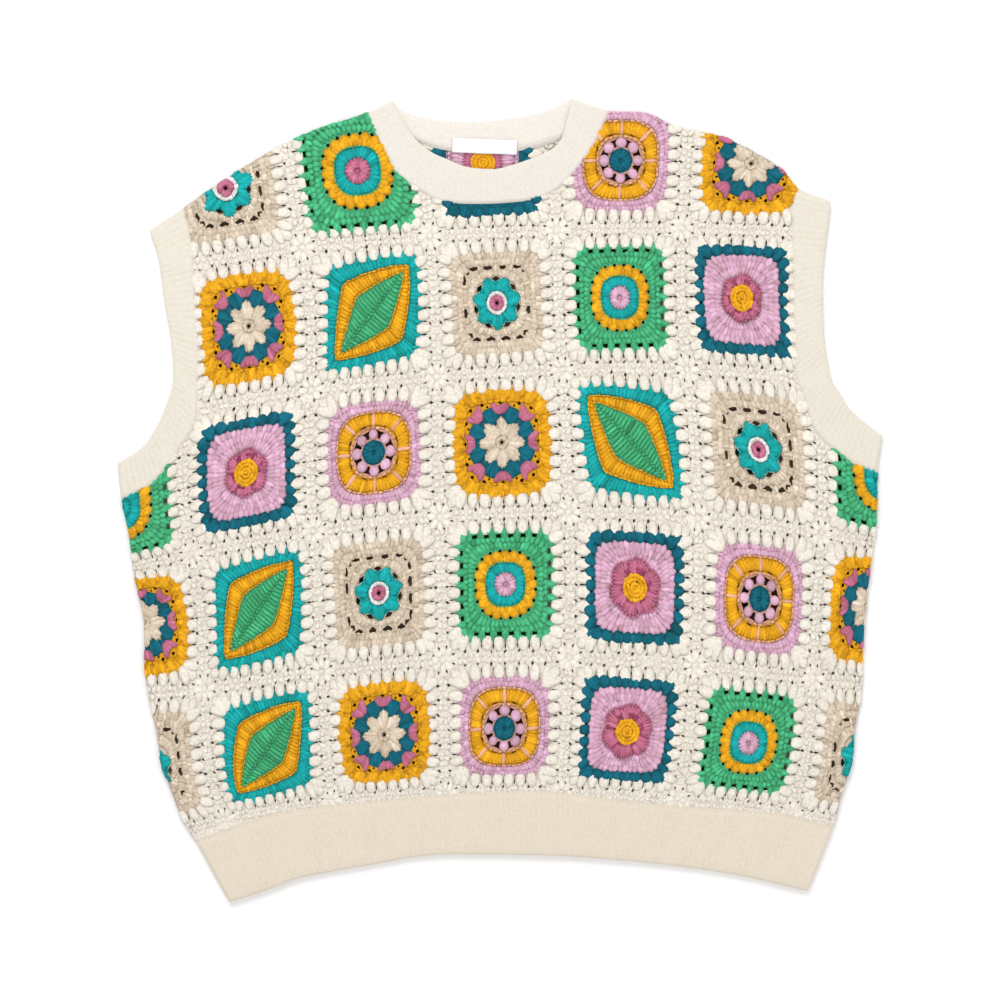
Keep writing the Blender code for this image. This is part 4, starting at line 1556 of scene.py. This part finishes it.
@dataclass(frozen=True)
class RibFinish:
    """Fine rib knit: a column of V stitches on each rib, with a soft mottle."""

    name: str
    colour: tuple
    stitch: float = 2.8       # mm from one V to the next
    depth: float = 0.06

    def build(self) -> bpy.types.Material:
        """Makes the material.

        Returns:
            The new material.
        """
        # depth paints shade towards the grooves, through the crest
        material = YarnFinish(self.name, self.colour, depth=0.62, ply_depth=0.0,
                              fuzz_depth=0.3, variation=0.04).build()
        desk = NodeDesk(material)
        place = desk.add("UVMap")
        split = desk.add("SeparateXYZ", {"Vector": place.outputs["UV"]})
        side = desk.work_out("PINGPONG", split.outputs["X"], 0.5)
        slant = desk.work_out("MULTIPLY", side, 1.1)
        row = desk.work_out("DIVIDE", split.outputs["Y"], self.stitch)
        angle = desk.work_out("MULTIPLY", desk.work_out("ADD", row, slant), 2 * math.pi)
        desk.bump(desk.work_out("SINE", angle), self.depth, 0.7)
        return material


@dataclass
class NeckLabel:
    """Plain white tape sewn inside the back neck."""

    width: float = 53.0
    height: float = 12.0
    thickness: float = 0.7
    middle: tuple = (-12.0, 290.5)
    turn: float = -2.3          # degrees
    gap: float = 0.45           # between the back's wall and the tape
    fold: float = 0.45          # how much thicker the folded ends are
    columns: int = 40
    rows: int = 10

    def build(self, cloth: Cloth) -> bpy.types.Object:
        """Makes the tape, slightly bowed, with folded ends.

        Args:
            cloth: the flattened vest.

        Returns:
            The tape.
        """
        columns, rows = self.columns, self.rows
        sides = (np.linspace(-0.5, 0.5, count + 1) for count in (columns, rows))
        gx, gy = (axis.ravel() for axis in np.meshgrid(*sides))
        a = math.radians(self.turn)
        px, py = gx * self.width, gy * self.height
        flat = np.column_stack([px * math.cos(a) - py * math.sin(a) + self.middle[0],
                                px * math.sin(a) + py * math.cos(a) + self.middle[1]])
        fold = self.fold * (np.abs(gx) > 0.46)
        bow = 0.35 * np.sin(gx * 5 + 1) + 0.15 * np.sin(gy * 7)
        top = WALL + LAYER_GAP + self.gap + fold + bow * 0.5 + self.thickness
        size = len(gx)
        points = [np.column_stack([flat * MM + cloth.shift, level * MM])
                  for level in (top, top - self.thickness)]
        upper = quad_grid(rows + 1, columns + 1, ring=False)
        lower = upper[:, ::-1] + size
        rim = np.concatenate([np.arange(columns), columns + np.arange(rows) * (columns + 1),
                              (columns + 1) * (rows + 1) - 1 - np.arange(columns),
                              (columns + 1) * (rows - np.arange(rows))])
        after = np.roll(rim, -1)
        wall = np.column_stack([rim, rim + size, after + size, after])
        uv = np.column_stack([px, py])
        parts = MeshParts()
        parts.add(np.vstack(points), [upper, lower, wall], 0, np.vstack([uv, uv]),
                  np.ones(2 * size))
        material = YarnFinish("label_tape", (0.955, 0.945, 0.955), ply_per_mm=2.5, ply_depth=0.05,
                              fuzz_depth=0.03, variation=0.015, roughness=0.55, sheen=0.1).build()
        tape = parts.build("neck_label_tape", [material])
        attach(tape, "root")
        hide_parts("neck_label")
        LOG.info("neck label: %d faces", len(tape.data.polygons))
        return tape


# ------------------------------------------------------------------ stage

@dataclass
class Studio:
    """White floor, soft light from the neck side, and a camera straight above."""

    frame_width: float = 0.82       # metres of floor across the picture
    lens: float = 110.0
    sensor: float = 36.0
    world: float = 0.80             # brightness of the light from all round
    lamps = {"key": ((-0.35, 1.5, 1.7), 0.9, 21.0), "fill": ((0.9, -0.9, 1.9), 1.4, 6.0)}

    def build(self) -> None:
        """Makes the floor, the lights, the world and the camera."""
        scene = bpy.context.scene
        bpy.ops.mesh.primitive_plane_add(size=8.0, location=(0, 0, 0))
        floor = bpy.context.object
        floor.name = "floor"
        paper = bpy.data.materials.new("paper")
        paper.use_nodes = True
        desk = NodeDesk(paper)
        desk.fill(desk.shader, {"Base Color": (0.97, 0.97, 0.97, 1), "Roughness": 1.0,
                                "Specular IOR Level": 0.0})
        floor.data.materials.append(paper)

        world = bpy.data.worlds.new("studio")
        world.use_nodes = True
        light = world.node_tree.nodes["Background"]
        light.inputs["Color"].default_value = (1, 1, 1, 1)
        light.inputs["Strength"].default_value = self.world
        scene.world = world
        for name, lamp in self.lamps.items():
            self.lamp(name, *lamp)

        data = bpy.data.cameras.new("camera")
        data.lens = self.lens
        data.sensor_width = self.sensor
        camera = bpy.data.objects.new("camera", data)
        camera.location = (0, 0, self.frame_width * self.lens / self.sensor)
        scene.collection.objects.link(camera)
        scene.camera = camera
        scene.view_settings.view_transform = "Standard"

    def lamp(self, name: str, place: tuple, size: float, power: float) -> None:
        """Adds a square lamp that looks at the origin.

        Args:
            name: its name.
            place: its place.
            size: its side.
            power: its power.
        """
        data = bpy.data.lights.new(name, "AREA")
        data.size = size
        data.energy = power
        lamp = bpy.data.objects.new(name, data)
        lamp.location = place
        lamp.rotation_mode = "QUATERNION"
        lamp.rotation_quaternion = Vector(place).to_track_quat("Z", "Y")
        bpy.context.scene.collection.objects.link(lamp)


def bands() -> list:
    """The vest's four rib bands."""
    arms = (("left", (ARM_SEAM_LEFT, ARM_FREE_LEFT)), ("right", (ARM_SEAM_RIGHT, ARM_FREE_RIGHT)))
    return [
        RibBand("neckband", Yarn.NECK, 4.7, (0.45, 0.026), (NECK_SEAM_FRONT, NECK_FREE_FRONT),
                (NECK_SEAM_BACK, NECK_FREE_BACK), depth=0.12, shade=0.07),
        *[RibBand(f"armband_{side}", Yarn.ARM, 5.5, (0.46, 0.027), edges) for side, edges in arms],
        RibBand("hem_band", Yarn.HEM, 4.5, (1.02, 0.052), (HEM_SEAM, HEM_FREE), depth=0.18,
                shade=0.1),
    ]


def main() -> None:
    """Builds the dressed vest in its studio."""
    logging.basicConfig(level=logging.INFO, format="%(name)s: %(message)s")
    cloth = Cloth()
    finishes, grounds, ribs = {}, {}, {}
    for yarn in Yarn:
        word = yarn.name.lower()
        foot, covered, share = SHADES.get(yarn, (0.5, 0.12, 0.93))
        finishes[yarn] = YarnFinish(f"{word}_yarn", yarn.value, foot, covered).build()
        # The ground between the stitches gets a darker copy of each yarn: painted shade.
        between = tuple(part * share for part in yarn.value)
        grounds[yarn] = YarnFinish(f"{word}_between", between, 0.75, covered).build()
        if yarn in (Yarn.NECK, Yarn.ARM, Yarn.HEM):
            ribs[yarn] = RibFinish(f"{word}_knit", yarn.value).build()
    for layer in (Layer.BACK, Layer.FRONT):
        CrochetPanel(layer, cloth, finishes, grounds).build()
    for band in bands():
        band.build(cloth, ribs)
    NeckLabel().build(cloth)
    Studio().build()


if __name__ == "__main__":
    main()
